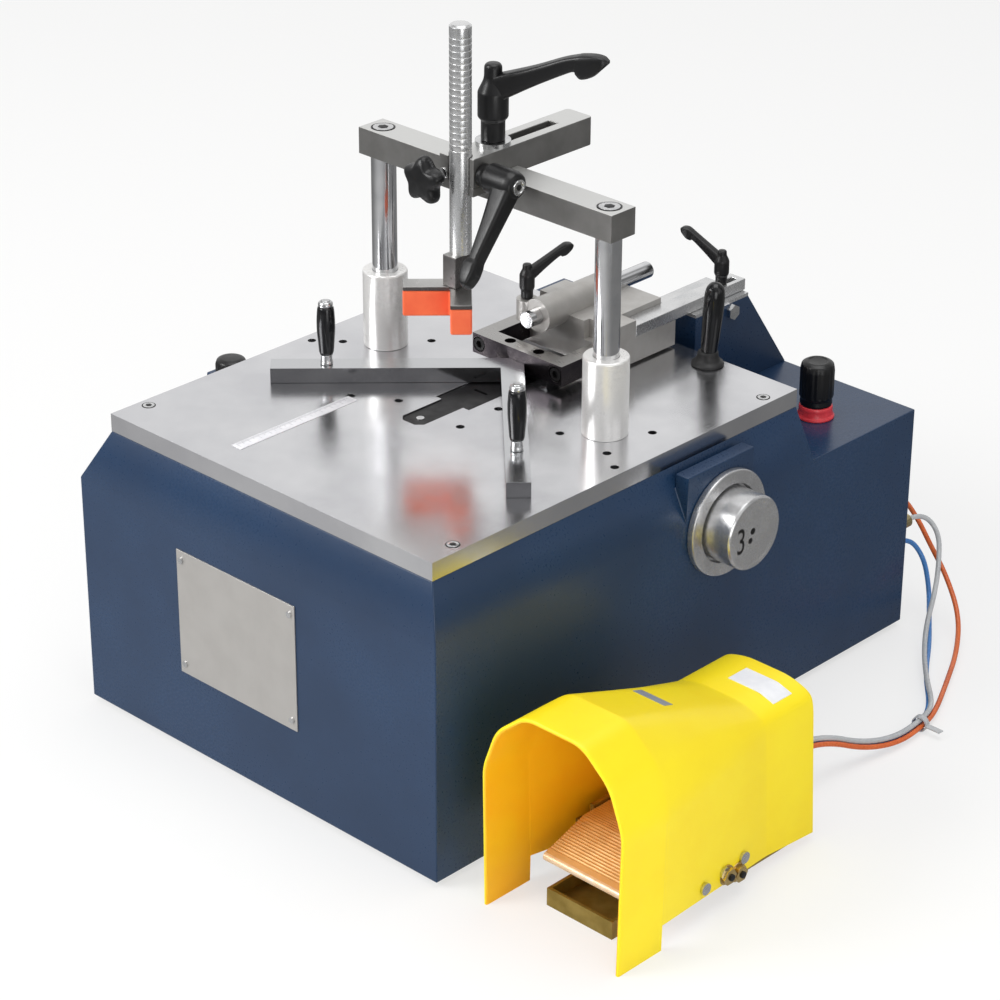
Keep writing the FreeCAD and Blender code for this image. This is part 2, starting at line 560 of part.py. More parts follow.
def make_arm():
    front = deep("arm_front")
    outline = [
        ("-arm_width / 2", front), ("arm_width / 2", front),
        ("arm_width / 2", f"{deep('arm_back')} - arm_chamfer"), ("arm_width / 2 - arm_chamfer",
                                                                 deep("arm_back")),
        ("-arm_width / 2 + arm_chamfer", deep("arm_back")), ("-arm_width / 2",
                                                             f"{deep('arm_back')} - arm_chamfer"),
    ]
    slot = rectangle("-arm_slot_width / 2", "arm_slot_width / 2", deep("arm_slot_front"),
                     deep("arm_slot_back"))
    bar = pad("XY", ARM_Z, [outline, slot], "arm_height", name="ArmBar")
    stud_room = "rod_stud_length + slide_gap"
    lever_hole = rod(f"arm_width / 2 - ({stud_room})", deep("rod_lever_back"), "table_top + rod_lever_z",
                     "rod_stud_radius + running_gap", stud_room, "x")
    node("arm", cut(bar, rod_groove(), lever_hole))
    cheek = span("-head_left", "-arm_width / 2", front, deep("head_back"), "table_top + head_foot",
                 "table_top + head_top")
    under = span("-arm_width / 2", "arm_width / 2", front, deep("head_back"), "table_top + head_foot", ARM_Z)
    star_hole = rod("-star_x", front, "table_top + star_z", "star_screw_radius + running_gap",
                    "star_screw_depth + slide_gap", "y")
    node("clamp_head", cut(join(cheek, under), rod_groove(), star_hole))


def rod_groove():
    return rod("0", ROD_Y, "table_top + head_foot", "clamp_rod_radius + groove_gap", "arm_height + head_foot")


def clamp_lever(kind, bore, bore_depth):
    """A hub turned about Z with a rising arm along X and a bulb at its tip."""
    def name(word):
        return f"{kind}_{word}"

    waist = rod("0", "0", "0", name("waist_radius"), name("waist_height"))
    hub = rod("0", "0", name("waist_height"), name("hub_radius"),
              f"{name('hub_height')} - {name('waist_height')}")
    button = rod("0", "0", name("hub_height"), name("button_radius"), name("button_height"))
    lean = FreeCAD.Vector(size(name("reach")), 0, size(name("rise")))
    turn = FreeCAD.Rotation(FreeCAD.Vector(0, 0, 1), lean)
    arm = cone("0", "0", name("arm_height"), name("root_radius"), name("tip_radius"),
               f"sqrt({name('reach')}^2 + {name('rise')}^2)", rotation=turn)
    tip = doc.addObject("Part::Sphere", "Tip")
    bind(tip, "Radius", f"{name('tip_radius')} + slide_gap")
    place(tip, name("reach"), "0", f"{name('arm_height')} + {name('rise')}")
    whole = join(waist, hub, button, arm, tip)
    if bore_depth is None:
        return whole
    return cut(whole, rod("0", "0", "0", bore, bore_depth))


def make_levers():
    heading = math.radians(size("top_heading"))
    top = clamp_lever("top", "arm_stud_radius + running_gap", "arm_stud_above - washer_thick + slide_gap")
    place(top, "0", COLUMN_Y, f"{ARM_TOP} + washer_thick",
          aim((0, 0, 1), (math.cos(heading), math.sin(heading), 0)))
    node("arm_lever", top)
    reach = math.hypot(size("lever_forward"), size("lever_drop"))
    side = clamp_lever("rod", "rod_stud_radius", None)
    stud = rod("0", "0", "-rod_stud_length", "rod_stud_radius", "rod_stud_length")
    lever = join(side, stud)
    place(lever, "arm_width / 2 + slide_gap", deep("rod_lever_back"), "table_top + rod_lever_z",
          aim((1, 0, 0), (0, -size("lever_forward") / reach, -size("lever_drop") / reach)))
    node("rod_lever", lever)
    for label, x, y, z, heading_name in (
        ("sleeve_lever", "-boss_x", deep("boss_back"), "table_top + boss_top", "sleeve_heading"),
        ("rail_lever", "rail_lever_x", RAIL_LEVER_Y, "table_top + rail_top", "rail_heading"),
    ):
        heading = math.radians(size(heading_name))
        body = clamp_lever("small", "small_stud_radius", None)
        stud = rod("0", "0", "-small_stud_length", "small_stud_radius", "small_stud_length")
        turn = aim((0, 0, 1), (math.cos(heading), math.sin(heading), 0))
        node(label, place(join(body, stud), x, y, f"{z} + slide_gap", turn))


def make_star_knob():
    """A lobed knob, its hub and its screw, turned about Y."""
    disc = rod("0", "0", "0", "star_radius - star_lobe", "star_thick")
    lobes = []
    count = int(size("star_lobes"))
    for index in range(count):
        turn = 2 * math.pi * index / count
        lobes.append(rod(f"(star_radius - star_lobe) * {math.cos(turn):.6f}",
                         f"(star_radius - star_lobe) * {math.sin(turn):.6f}", "0", "star_lobe", "star_thick"))
    hub = rod("0", "0", "star_thick", "star_hub_radius", "star_reach - star_thick")
    screw = rod("0", "0", "star_reach", "star_screw_radius", "star_screw_depth")
    knob = join(disc, *lobes, hub, screw)
    place(knob, "-star_x", f"{ROD_Y} - star_reach - slide_gap", "table_top + star_z", AXES["y"])
    node("star_knob", knob)


def make_clamp_rod():
    """A round rod with ring notches on its upper part."""
    radius = size("clamp_rod_radius")
    low = size("clamp_rod_foot")
    high = size("clamp_rod_top")
    chamfer = size("rod_chamfer")
    depth = size("notch_depth")
    pitch = size("notch_pitch")
    flank = size("notch_flank")
    points = [(0, low), (radius, low)]
    for index in range(int(size("notch_count"))):
        start = size("notch_low") + index * pitch
        points += [(radius, start), (radius - depth, start + flank), (radius - depth, start + 2 * flank),
                   (radius, start + 3 * flank)]
    points += [(radius, high - chamfer), (radius - chamfer, high), (0, high), (0, low)]
    wire = Part.makePolygon([FreeCAD.Vector(across, 0, up) for across, up in points])
    turned_rod = Part.Face(wire).revolve(FreeCAD.Vector(), FreeCAD.Vector(0, 0, 1), 360)
    node("clamp_rod", place(solid_feature("ClampRod", turned_rod), "0", ROD_Y, "table_top"))
    block = span("-holder_width / 2", "holder_width / 2", f"{ROD_Y} - holder_depth / 2",
                 f"{ROD_Y} + holder_depth / 2", HOLDER_Z, "table_top + clamp_rod_foot")
    node("magnet_block", block)
    node("pad_plate", pad("XY", PLATE_Z, [vee_outline()], "pad_plate", name="PadPlate"))
    node("pressure_pad", pad("XY", f"{PLATE_Z} - pad_height", [vee_outline()], "pad_height",
                             name="PressurePad"))


def vee_outline():
    """Two arms running forward from the axis of the vertical rod."""
    half = "pad_width / 2"
    out = "pad_arm * cos(fence_angle)"
    down = "pad_arm * sin(fence_angle)"
    right = [
        ("0", f"{ROD_Y} + {half} / cos(fence_angle)"),
        (f"{out} + {half} * sin(fence_angle)", f"{ROD_Y} - {down} + {half} * cos(fence_angle)"),
        (f"{out} - {half} * sin(fence_angle)", f"{ROD_Y} - {down} - {half} * cos(fence_angle)"),
        ("0", f"{ROD_Y} - {half} / cos(fence_angle)"),
    ]
    left = [(f"-({right[2][0]})", right[2][1]), (f"-({right[1][0]})", right[1][1])]
    return right + left


def make_fence(sign, length, grip_x):
    """One leg of the V: a foot plate that carries the nose block, and a bar on it with its grip."""
    apex = deep("apex_back")
    outer_apex = f"({apex} + fence_width / cos(fence_angle))"
    end_x = f"{length} * cos(fence_angle)"
    end_y = f"({outer_apex} - {length} * sin(fence_angle))"
    shoulder = deep("gusset_front")
    stop = deep("nose_front - slide_gap")
    tip = [(f"{end_x} - fence_width * sin(fence_angle)", f"{end_y} - fence_width * cos(fence_angle)"),
           (end_x, end_y)]
    foot_outline = [("0", apex), *tip, (f"({outer_apex} - {shoulder}) / tan(fence_angle)", shoulder),
                    ("gusset_half", shoulder), ("gusset_half", deep("gusset_back")),
                    ("0", deep("gusset_back"))]
    bar_outline = [("0", apex), *tip, (f"({outer_apex} - {stop}) / tan(fence_angle)", stop), ("0", stop)]
    screw_hole = ("fence_screw_x", deep("fence_screw_back"), "fence_screw_radius + screw_gap")
    grip_y = f"({apex} + fence_width / cos(fence_angle) / 2 - {grip_x} * tan(fence_angle))"
    grip_hole = (grip_x, grip_y, "grip_stud_radius + running_gap")
    foot = pad("XY", FENCE_Z, [foot_outline], "fence_thick", [screw_hole], name="FenceFoot")
    bar = pad("XY", NOSE_Z, [bar_outline], f"table_top + fence_top - {NOSE_Z}", [grip_hole], name="FenceBar")
    fence = join(foot, bar)
    side = "right" if sign > 0 else "left"
    node(f"fence_{side}", fence if sign > 0 else mirrored(fence))
    grip = turned([
        ("0", "-grip_stud_length"), ("grip_stud_radius", "-grip_stud_length"), ("grip_stud_radius", "0"),
        ("grip_neck_radius", "0"), ("grip_neck_radius", "grip_neck"), ("grip_radius", "grip_neck"),
        ("grip_radius", "grip_body"), ("grip_radius - grip_dome", "grip_body + grip_dome"),
        ("0", "grip_body + grip_dome"),
    ], "z", f"{sign} * {grip_x}", grip_y, "table_top + fence_top + slide_gap")
    node(f"fence_grip_{side}", grip)


def make_fences():
    make_fence(1, "right_fence", "right_grip_x")
    make_fence(-1, "left_fence", "left_grip_x")


def make_nose():
    top = f"({NOSE_Z} + nose_height)"
    inner = "nose_half - nose_cheek"
    outline = rectangle("-nose_half", "nose_half", deep("nose_front"), deep("nose_back"))
    window = rectangle(f"-({inner})", inner, f"{deep('nose_front')} + nose_bar", deep("nose_back + nose_bar"))
    frame = pad("XY", NOSE_Z, [outline], "nose_height", name="NoseFrame")
    gap = pad("XY", NOSE_Z, [window], "nose_height", name="NoseWindow")
    seat = f"{NOSE_Z} + nose_height / 2"
    drilled = both_sides(group(
        rod("fence_screw_x", deep("fence_screw_back"), NOSE_Z, "fence_screw_radius + screw_gap",
            "nose_height"),
        rod("fence_screw_x", deep("fence_screw_back"), seat, "fence_screw_head + screw_gap", "nose_height"),
        rod("nose_screw_x", deep("nose_front"), seat, "nose_bore_radius", "nose_head_depth + slide_gap", "y"),
        rod("nose_screw_x", deep("nose_front"), seat, "nose_screw_radius + screw_gap", "nose_back", "y"),
    ))
    node("nose_block", cut(frame, gap, drilled))
    fence_screw = join(
        rod("fence_screw_x", deep("fence_screw_back"), f"{FENCE_Z} + slide_gap", "fence_screw_radius",
            f"{seat} - {FENCE_Z} - slide_gap"),
        rod("fence_screw_x", deep("fence_screw_back"), seat, "fence_screw_head", "fence_head_thick"),
    )
    nose_screw = join(
        rod("nose_screw_x", f"{deep('nose_front')} + slide_gap", seat, "nose_screw_head", "nose_head_depth",
            "y"),
        rod("nose_screw_x", f"{deep('nose_front')} + nose_head_depth + slide_gap", seat, "nose_screw_radius",
            "nose_back - nose_front - nose_head_depth + flange_thick / 2", "y"),
    )
    hexes = hexagon("nose_screw_x", deep("nose_front"), seat, "nose_screw_radius", "key_depth", "y")
    node("nose_screws", both_sides(group(fence_screw, cut(nose_screw, hexes))))


def make_carriage():
    seat = f"{NOSE_Z} + nose_height / 2"
    foot = "table_top + saddle_foot"
    saddle_back = aft("saddle_aft")
    saddle = span("-saddle_left", "saddle_right", deep("saddle_front"), saddle_back, foot,
                  "table_top + saddle_top")
    flange = span("-nose_half", "saddle_right", deep("nose_back"), deep("nose_back + flange_thick"), foot,
                  f"{NOSE_Z} + nose_height")
    sleeve = rod("stop_x", deep("sleeve_front"), STOP_Z, "sleeve_radius", "sleeve_back - sleeve_front", "y")
    boss = rod("-boss_x", deep("boss_back"), f"{STOP_Z} - boss_radius", "boss_radius",
               f"table_top + boss_top - {STOP_Z} + boss_radius")
    rib = span("-rib_half - boss_x / 2", "rib_half - boss_x / 2", deep("rib_front"), deep("rib_back"),
               "table_top + saddle_top", "table_top + rib_top")
    cheek = span("-nose_half / 2", "nose_half / 2", deep("nose_back"), deep("saddle_front + flange_thick"),
                 foot, "table_top + saddle_top")
    bore = rod("stop_x", deep("sleeve_front"), STOP_Z, "stop_rod_radius + running_gap",
               "stop_rod_back - sleeve_front", "y")
    rebate = span("rail_left - screw_gap", "saddle_right", f"{deep('rail_front')} - screw_gap",
                  saddle_back, RAIL_Z, "table_top + saddle_top")
    stud_hole = rod("-boss_x", deep("boss_back"), "table_top + boss_top - small_stud_length",
                    "small_stud_radius + running_gap", "small_stud_length")
    screws = both_sides(rod("nose_screw_x", deep("nose_back"), seat, "nose_screw_radius + screw_gap",
                            "flange_thick", "y"))
    node("carriage_casting", cut(join(saddle, flange, sleeve, boss, rib, cheek), bore, rebate, stud_hole,
                                 screws))
    outline = rectangle("rail_left", "saddle_right", deep("rail_front"), aft("rail_aft"))
    slot = rectangle("rail_lever_x - rail_slot_half", "rail_lever_x + rail_slot_half",
                     f"{RAIL_LEVER_Y} - rail_slot_ahead", f"{RAIL_LEVER_Y} + rail_slot_behind")
    node("rail_bar", pad("XY", RAIL_Z, [outline, slot], "rail_top - rail_foot", name="RailBar"))
    node("backstop_rod", rod("stop_x", deep("stop_rod_front"), STOP_Z, "stop_rod_radius",
                             "stop_rod_back - stop_rod_front", "y"))


def make_tower():
    """A closed sheet tower on the rear deck, its cap plate and its bolt."""
    top = f"({TOWER_TOP} - tower_sheet)"
    front = aft("tower_front")
    outer = [(front, BEND_Z), (CASE_BACK, BEND_Z), (TOWER_CREST, top), (front, top)]
    inner = [
        (f"{front} + tower_sheet", BEND_Z), (f"{CASE_BACK} - 2 * tower_sheet", BEND_Z),
        (f"{TOWER_CREST} - tower_sheet", f"{top} - tower_sheet"), (f"{front} + tower_sheet",
                                                                   f"{top} - tower_sheet"),
    ]
    shell = pad("YZ", "tower_left", [outer], "tower_right - tower_left", name="TowerShell")
    room = pad("YZ", "tower_left + tower_sheet", [inner], "tower_right - tower_left - 2 * tower_sheet",
               name="TowerRoom")
    lever_x = "rail_lever_x"
    hole = rod(lever_x, RAIL_LEVER_Y, f"{top} - 2 * tower_sheet", "small_stud_radius + running_gap",
               "tower_rise")
    node("tower", cut(shell, room, hole))
    cap = span("tower_left", "tower_right", front, TOWER_CREST, top, TOWER_TOP)
    cap_hole = rod(lever_x, RAIL_LEVER_Y, top, "small_stud_radius + running_gap", "tower_sheet")
    node("tower_cap", cut(cap, cap_hole))


def make_hand_lever():
    shaft = turned([
        ("0", "hand_foot"), ("hand_radius - hand_pin_radius", "hand_foot"),
        ("hand_radius", "hand_foot + hand_pin_radius"), ("hand_radius", "hand_rise"),
        ("hand_radius * dome_wide", "hand_rise + hand_dome * dome_low"),
        ("hand_radius * dome_low", "hand_rise + hand_dome * dome_wide"),
        ("0", "hand_rise + hand_dome"),
    ], "z", "hand_x", aft("hand_aft"), "table_top")
    hole = rod("hand_x - hand_radius", aft("hand_aft"), "table_top + hand_pivot",
               "hand_pin_radius + running_gap", "2 * hand_radius", "x")
    node("stop_lever", cut(shaft, hole))
    boot = turned([
        ("boot_bore", "0"), ("boot_radius", "0"), ("boot_radius", "boot_foot"),
        ("boot_neck_radius", "boot_height"), ("boot_bore", "boot_height"),
    ], "z", "hand_x", aft("hand_aft"), "table_top")
    pin = rod("hand_x - boot_bore", aft("hand_aft"), "table_top + hand_pivot", "hand_pin_radius",
              "2 * boot_bore", "x")
    node("lever_boot", group(boot, cut(pin, boot)))


def make_dial():
    flange = turned([
        ("dial_spindle_radius + running_gap", "0"), ("dial_flange_radius", "0"),
        ("dial_flange_radius", "dial_flange_thick"), ("dial_groove_outer", "dial_flange_thick"),
        ("dial_groove_outer", "dial_flange_thick - dial_groove_depth"),
        ("dial_groove_inner", "dial_flange_thick - dial_groove_depth"), ("dial_groove_inner",
                                                                         "dial_flange_thick"),
        ("dial_spindle_radius + running_gap", "dial_flange_thick"),
    ], "x", CASE_HALF, deep("dial_back"), "dial_height")
    node("dial_flange", flange)
    knob = turned([
        ("0", "-dial_spindle_length"), ("dial_spindle_radius",
                                        "-dial_spindle_length"), ("dial_spindle_radius", "0"),
        ("dial_knob_radius", "0"), ("dial_knob_radius", "dial_knob_length - dial_knob_chamfer"),
        ("dial_knob_radius - dial_knob_chamfer", "dial_knob_length"), ("0", "dial_knob_length"),
    ], "x", f"{CASE_HALF} + dial_flange_thick + dial_gap", deep("dial_back"), "dial_height")
    node("dial_knob", knob)


def make_regulators():
    x = f"{CASE_HALF} - regulator_side"
    y = aft("regulator_aft")
    body = join(rod(x, y, BEND_Z, "neck_radius", "collar_height"),
                rod(x, y, BEND_Z, "post_radius", "post_height"))
    ring = rod(x, y, BEND_Z, "collar_radius", "collar_height")
    node("regulator_collar", cut(ring, rod(x, y, BEND_Z, "neck_radius + screw_gap", "collar_height")))
    cap = rod(x, y, f"{BEND_Z} + collar_height + collar_gap", "regulator_radius", "regulator_height")
    post_room = rod(x, y, f"{BEND_Z} + collar_height", "post_radius + running_gap",
                    "post_height - collar_height + slide_gap")
    node("regulator_knob", cut(cap, post_room))
    side_x = f"-{CASE_HALF} + side_knob_out"
    side_y = deep("side_knob_back")
    side_post = rod(side_x, side_y, BUMP_TOP, "side_post_radius", "side_post_height")
    node("valve_posts", group(body, side_post))
    side_cap = rod(side_x, side_y, f"{BUMP_TOP} + collar_gap", "side_knob_radius", "side_knob_height")
    side_room = rod(side_x, side_y, BUMP_TOP, "side_post_radius + running_gap",
                    "side_post_height + slide_gap")
    node("side_knob", cut(side_cap, side_room))


def make_driver():
    """The pneumatic nail driver, the nail magazine and its pusher under the table."""
    barrel = rod("0", DRIVER_Y, BASE_TOP, "driver_barrel_radius", "driver_barrel_height")
    bore = rod("0", DRIVER_Y, f"{BASE_TOP} + barrel_cap", "driver_barrel_radius - driver_wall",
               "driver_barrel_height - 2 * barrel_cap")
    throat = rod("0", DRIVER_Y, f"{BASE_TOP} + driver_barrel_height / 2", "driver_rod_radius + running_gap",
                 "driver_barrel_height / 2")
    node("driver_cylinder", cut(barrel, bore, throat))
    foot = f"{BASE_TOP} + driver_piston_lift"
    piston = rod("0", DRIVER_Y, foot, "driver_barrel_radius - driver_wall - piston_side_gap",
                 "driver_piston_thick")
    shaft = rod("0", DRIVER_Y, foot, "driver_rod_radius", f"blade_foot - ({foot})")
    blade = span("-blade_width / 2", "blade_width / 2", f"{DRIVER_Y} - blade_thick / 2",
                 f"{DRIVER_Y} + blade_thick / 2", "blade_foot", "blade_top")
    node("driver_blade", join(piston, shaft, blade))
    block = span("-magazine_half", "magazine_half", f"{deep('slot_front')} - magazine_margin",
                 f"{deep('slot_back')} + magazine_margin", MAGAZINE_Z, TABLE_UNDER)
    blade_way = span("-blade_width / 2 - blade_gap", "blade_width / 2 + blade_gap",
                     f"{DRIVER_Y} - blade_thick / 2 - blade_gap", f"{DRIVER_Y} + blade_thick / 2 + blade_gap",
                     MAGAZINE_Z, TABLE_UNDER)
    pusher_z = f"({MAGAZINE_Z} + pusher_rise)"
    channel = span("-pusher_half - blade_gap", "pusher_half + blade_gap", f"{DRIVER_Y} + blade_thick / 2",
                   f"{deep('slot_back')} + magazine_margin", f"{pusher_z} - blade_gap",
                   f"{pusher_z} + pusher_height + blade_gap")
    node("magazine", cut(block, blade_way, channel))
    node("nail_pusher", span("-pusher_half", "pusher_half", deep("pusher_back"),
                             deep("pusher_back + pusher_depth"), pusher_z, f"{pusher_z} + pusher_height"))


def guard_section(along, kind, wall):
    """One section of the pedal's guard: sloping sides, two shoulders and a flat crown."""
    wide = "guard" if kind == "front" else "rear"
    foot = size(f"{wide}_foot") - wall
    hip = size(f"{wide}_hip") - wall
    hip_z = size(f"{wide}_hip_z")
    shoulder = size(f"{wide}_shoulder") - wall
    shoulder_z = size(f"{wide}_shoulder_z") - wall / 2
    crown = size(f"{wide}_crown") - wall / 2
    top = size(f"{wide}_top") - wall
    low = -wall
    half = [(foot, low), (hip, hip_z), (shoulder, shoulder_z), (crown, top)]
    points = half + [(-across, up) for across, up in reversed(half)]
    x = size("pedal_x")
    return Part.makePolygon([FreeCAD.Vector(x + across, along, up) for across, up in points + points[:1]])


def guard_solid(wall, front_cut, rear_cut):
    front = size("pedal_front") + front_cut
    straight = size("pedal_front") + size("guard_bend_front")
    slope = size("pedal_front") + size("guard_bend_rear")
    rear = size("pedal_front") + size("pedal_length") + rear_cut
    stations = [(front, "front"), (straight, "front"), (slope, "rear"), (rear, "rear")]
    return Part.makeLoft([guard_section(along, kind, wall) for along, kind in stations], True, True)


def make_pedal():
    x = "pedal_x"
    front = "pedal_front"
    wall = size("guard_wall")
    room = guard_solid(wall, -wall, wall)
    outer = guard_solid(0, 0, 0)
    reach = size("guard_hip") + wall
    y_skirt = size("pedal_front") + size("guard_skirt")
    y_rear = size("pedal_front") + size("pedal_length") + wall
    side = Part.makePolygon([
        FreeCAD.Vector(size("pedal_x") - reach, y, z) for y, z in (
            (y_skirt, -wall), (y_skirt, size("guard_lift_front")), (y_rear, size("guard_lift_rear")),
            (y_rear, -wall), (y_skirt, -wall))
    ])
    lift = Part.Face(side).extrude(FreeCAD.Vector(2 * reach, 0, 0))
    shell = solid_feature("GuardShell", outer.cut(room).cut(lift))
    screw_x = "pedal_x - guard_hip"
    screw_rows = [f"{front} + guard_screw_front + {index} * guard_screw_step" for index in range(3)]
    holes = [rod(screw_x, y, "guard_screw_z", "guard_screw_radius + screw_gap", "2 * guard_hip", "x")
             for y in screw_rows]
    node("pedal_guard", cut(shell, *holes))

    sheet_top = "pedal_base_sheet"
    plate = span(f"{x} - pedal_base_half", f"{x} + pedal_base_half", f"{front} + bracket_front",
                 f"{front} + pedal_length - 2 * guard_wall", "0", sheet_top)
    tray = span(f"{x} - tray_half", f"{x} + tray_half", f"{front} + pedal_base_front",
                f"{front} + bracket_front", "0", "tray_height")
    tray_room = span(f"{x} - tray_half + tray_wall", f"{x} + tray_half - tray_wall",
                     f"{front} + pedal_base_front + tray_wall", f"{front} + bracket_front", sheet_top,
                     "tray_height")
    cheeks = [span(f"{x} + {low}", f"{x} + {high}", f"{front} + bracket_front",
                   f"{front} + bracket_front + bracket_length", sheet_top, "pedal_flange")
              for low, high in (("pedal_base_half - pedal_base_sheet", "pedal_base_half"),
                                ("-pedal_base_half", "-pedal_base_half + pedal_base_sheet"))]
    wings = [span(f"{x} + {low}", f"{x} + {high}", f"{front} + bracket_front",
                  f"{front} + bracket_front + bracket_length", "bracket_foot", "bracket_top")
             for low, high in (("pedal_base_half", "guard_foot"), ("-guard_foot", "-pedal_base_half"))]
    doc.recompute()
    trimmed = [solid_feature("Wing", wing.Shape.common(room)) for wing in wings]
    base_holes = [rod(screw_x, y, "guard_screw_z", "guard_screw_radius + running_gap", "2 * guard_hip", "x")
                  for y in screw_rows]
    pin_hole = rod(f"{x} - pedal_base_half", PIVOT_Y, "pivot_height", "pivot_radius + running_gap",
                   "2 * pedal_base_half", "x")
    node("pedal_base", cut(join(plate, cut(tray, tray_room), *cheeks, *trimmed), *base_holes, pin_hole))
    doc.recompute()
    pin = rod(f"{x} - pedal_base_half", PIVOT_Y, "pivot_height", "pivot_radius", "2 * pedal_base_half", "x")
    screws = []
    for index, y in enumerate(screw_rows):
        behind = f"(guard_screw_front + {index} * guard_screw_step - guard_bend_front)"
        along = f"{behind} / (guard_bend_rear - guard_bend_front)"
        foot = f"(guard_foot + (rear_foot - guard_foot) * {along})"
        hip = f"(guard_hip + (rear_hip - guard_hip) * {along})"
        reach = f"({foot} + ({hip} - {foot}) * guard_screw_z / guard_hip_z + head_gap - pedal_base_half)"
        shank = rod(f"{x} + pedal_base_half", y, "guard_screw_z", "guard_screw_radius", reach, "x")
        head = rod(f"{x} + pedal_base_half + {reach}", y, "guard_screw_z", "guard_screw_head",
                   "guard_screw_thick", "x")
        screw = join(shank, head)
        twin = doc.addObject("Part::Mirroring", "Mirrored")
        twin.Source = screw
        twin.Normal = FreeCAD.Vector(1, 0, 0)
        bind(twin, "Base.x", x)
        screws += [screw, twin]
    node("pedal_screws", group(pin, *screws))
    make_treadle()


def make_treadle():
    x = "pedal_x"
    front = "pedal_front"
    nose_y = f"({front} + treadle_front)"
    knee_y = f"({front} + treadle_rise_y)"
    back_y = f"({front} + treadle_back)"
    profile = [
        (nose_y, "treadle_nose_z - treadle_thick"), (knee_y, "treadle_heel_z - treadle_thick"),
        (back_y, "treadle_heel_z - treadle_thick"), (back_y, "treadle_heel_z"), (knee_y, "treadle_heel_z"),
        (nose_y, "treadle_nose_z"),
    ]
    plate = pad("YZ", f"{x} - treadle_half", [profile], "2 * treadle_half", name="TreadlePlate")
    lugs = []
    for sign in (-1, 1):
        start = f"{x} + {sign} * lug_x - lug_thick / 2"
        lugs.append(span(start, f"{start} + lug_thick", f"{PIVOT_Y} - lug_radius / 2",
                         f"{PIVOT_Y} + lug_radius / 2",
                         "pivot_height", "treadle_heel_z - treadle_thick"))
        lugs.append(rod(start, PIVOT_Y, "pivot_height", "eye_radius", "lug_thick", "x"))
    finger = span(f"{x} - lug_radius", f"{x} + lug_radius", f"{PIVOT_Y} - lug_radius / 2",
                  f"{PIVOT_Y} + lug_radius / 2", "lug_foot", "treadle_heel_z - treadle_thick")
    bore = rod(f"{x} - treadle_half", PIVOT_Y, "pivot_height", "pivot_radius + running_gap",
               "2 * treadle_half", "x")
    node("treadle", cut(join(plate, *lugs, finger), bore))
    valve_front = f"({front} + valve_front)"
    body = span(f"{x} - valve_half", f"{x} + valve_half", valve_front, VALVE_BACK, "pedal_base_sheet",
                "pedal_base_sheet + valve_height")
    bore = rod(x, valve_front, "plunger_height", "plunger_radius + running_gap", "plunger_bore", "y")
    node("pedal_valve", cut(body, bore))
    tip = f"{PIVOT_Y} + lug_radius / 2 + contact_gap"
    node("valve_plunger", rod(x, tip, "plunger_height", "plunger_radius", "plunger_length", "y"))
    fittings = [rod(f"{x} + {index} * pedal_fitting_step", VALVE_BACK, "pedal_fitting_z",
                    "pedal_fitting_radius",
                    "pedal_fitting_length", "y") for index in (-1, 0, 1)]
    rear = [rod(f"{x}", CASE_BACK, f"{z}", "fitting_radius", "fitting_length", "y")
            for x, _, z in (route["start"][0] for route in ROUTES.values())]
    node("air_fittings", group(*fittings, *rear))


# Routes of the air lines, from the rear panel to the tie and on to the pedal. Points are chosen by eye.
# The second number of a start point is its distance behind the casing's back.
SHARED_ROUTE = [(290, 166, 5), (296, 142.5, 5), (298, 110, 5), (291, 78, 11), (283, 46, 27), (281, 14, 35)]
TIE_INDEX = 1
ROUTES = {
    "tube_red": {
        "start": [(150, 16, 92), (150, 36, 92), (160, 47, 70), (178, 42, 54), (200, 35, 38),
                  (225, 21, 17), (248, -11.5, 6), (270, -54.5, 5)],
        "shift": (0, 0), "end_step": 1,
    },
    "tube_blue": {
        "start": [(160, 16, 58), (160, 35, 58), (170, 45, 40), (186, 33, 22), (205, 9, 12),
                  (226, -18, 6), (250, -55, 5)],
        "shift": (-4.7, 0), "end_step": -1,
    },
    "tube_clear": {
        "start": [(172, 16, 84), (172, 35, 84), (184, 44, 68), (198, 27, 50), (210, 7, 36),
                  (222, -18, 24), (236, -39, 14), (258, -65, 9.5)],
        "shift": (-2.35, 4.1), "end_step": 0,
    },
}


def route_points(name):
    """All points of one air line, from its rear fitting to its fitting on the pedal's valve."""
    route = ROUTES[name]
    back = figure(CASE_BACK)
    points = [FreeCAD.Vector(x, back + behind, z) for x, behind, z in route["start"]]
    points += [FreeCAD.Vector(*shared_point(name, index)) for index in range(len(SHARED_ROUTE))]
    end_x = size("pedal_x") + route["end_step"] * size("pedal_fitting_step")
    end_y = figure(VALVE_BACK) + size("pedal_fitting_length")
    end_z = size("pedal_fitting_z")
    points.append(FreeCAD.Vector(end_x, end_y + size("tube_lead"), end_z))
    points.append(FreeCAD.Vector(end_x, end_y, end_z))
    return points


def shared_point(name, index):
    """A point of the bundle, moved to the lane of one air line."""
    across, up = ROUTES[name]["shift"]
    x, y, z = SHARED_ROUTE[index]
    return x + across, y, z + up


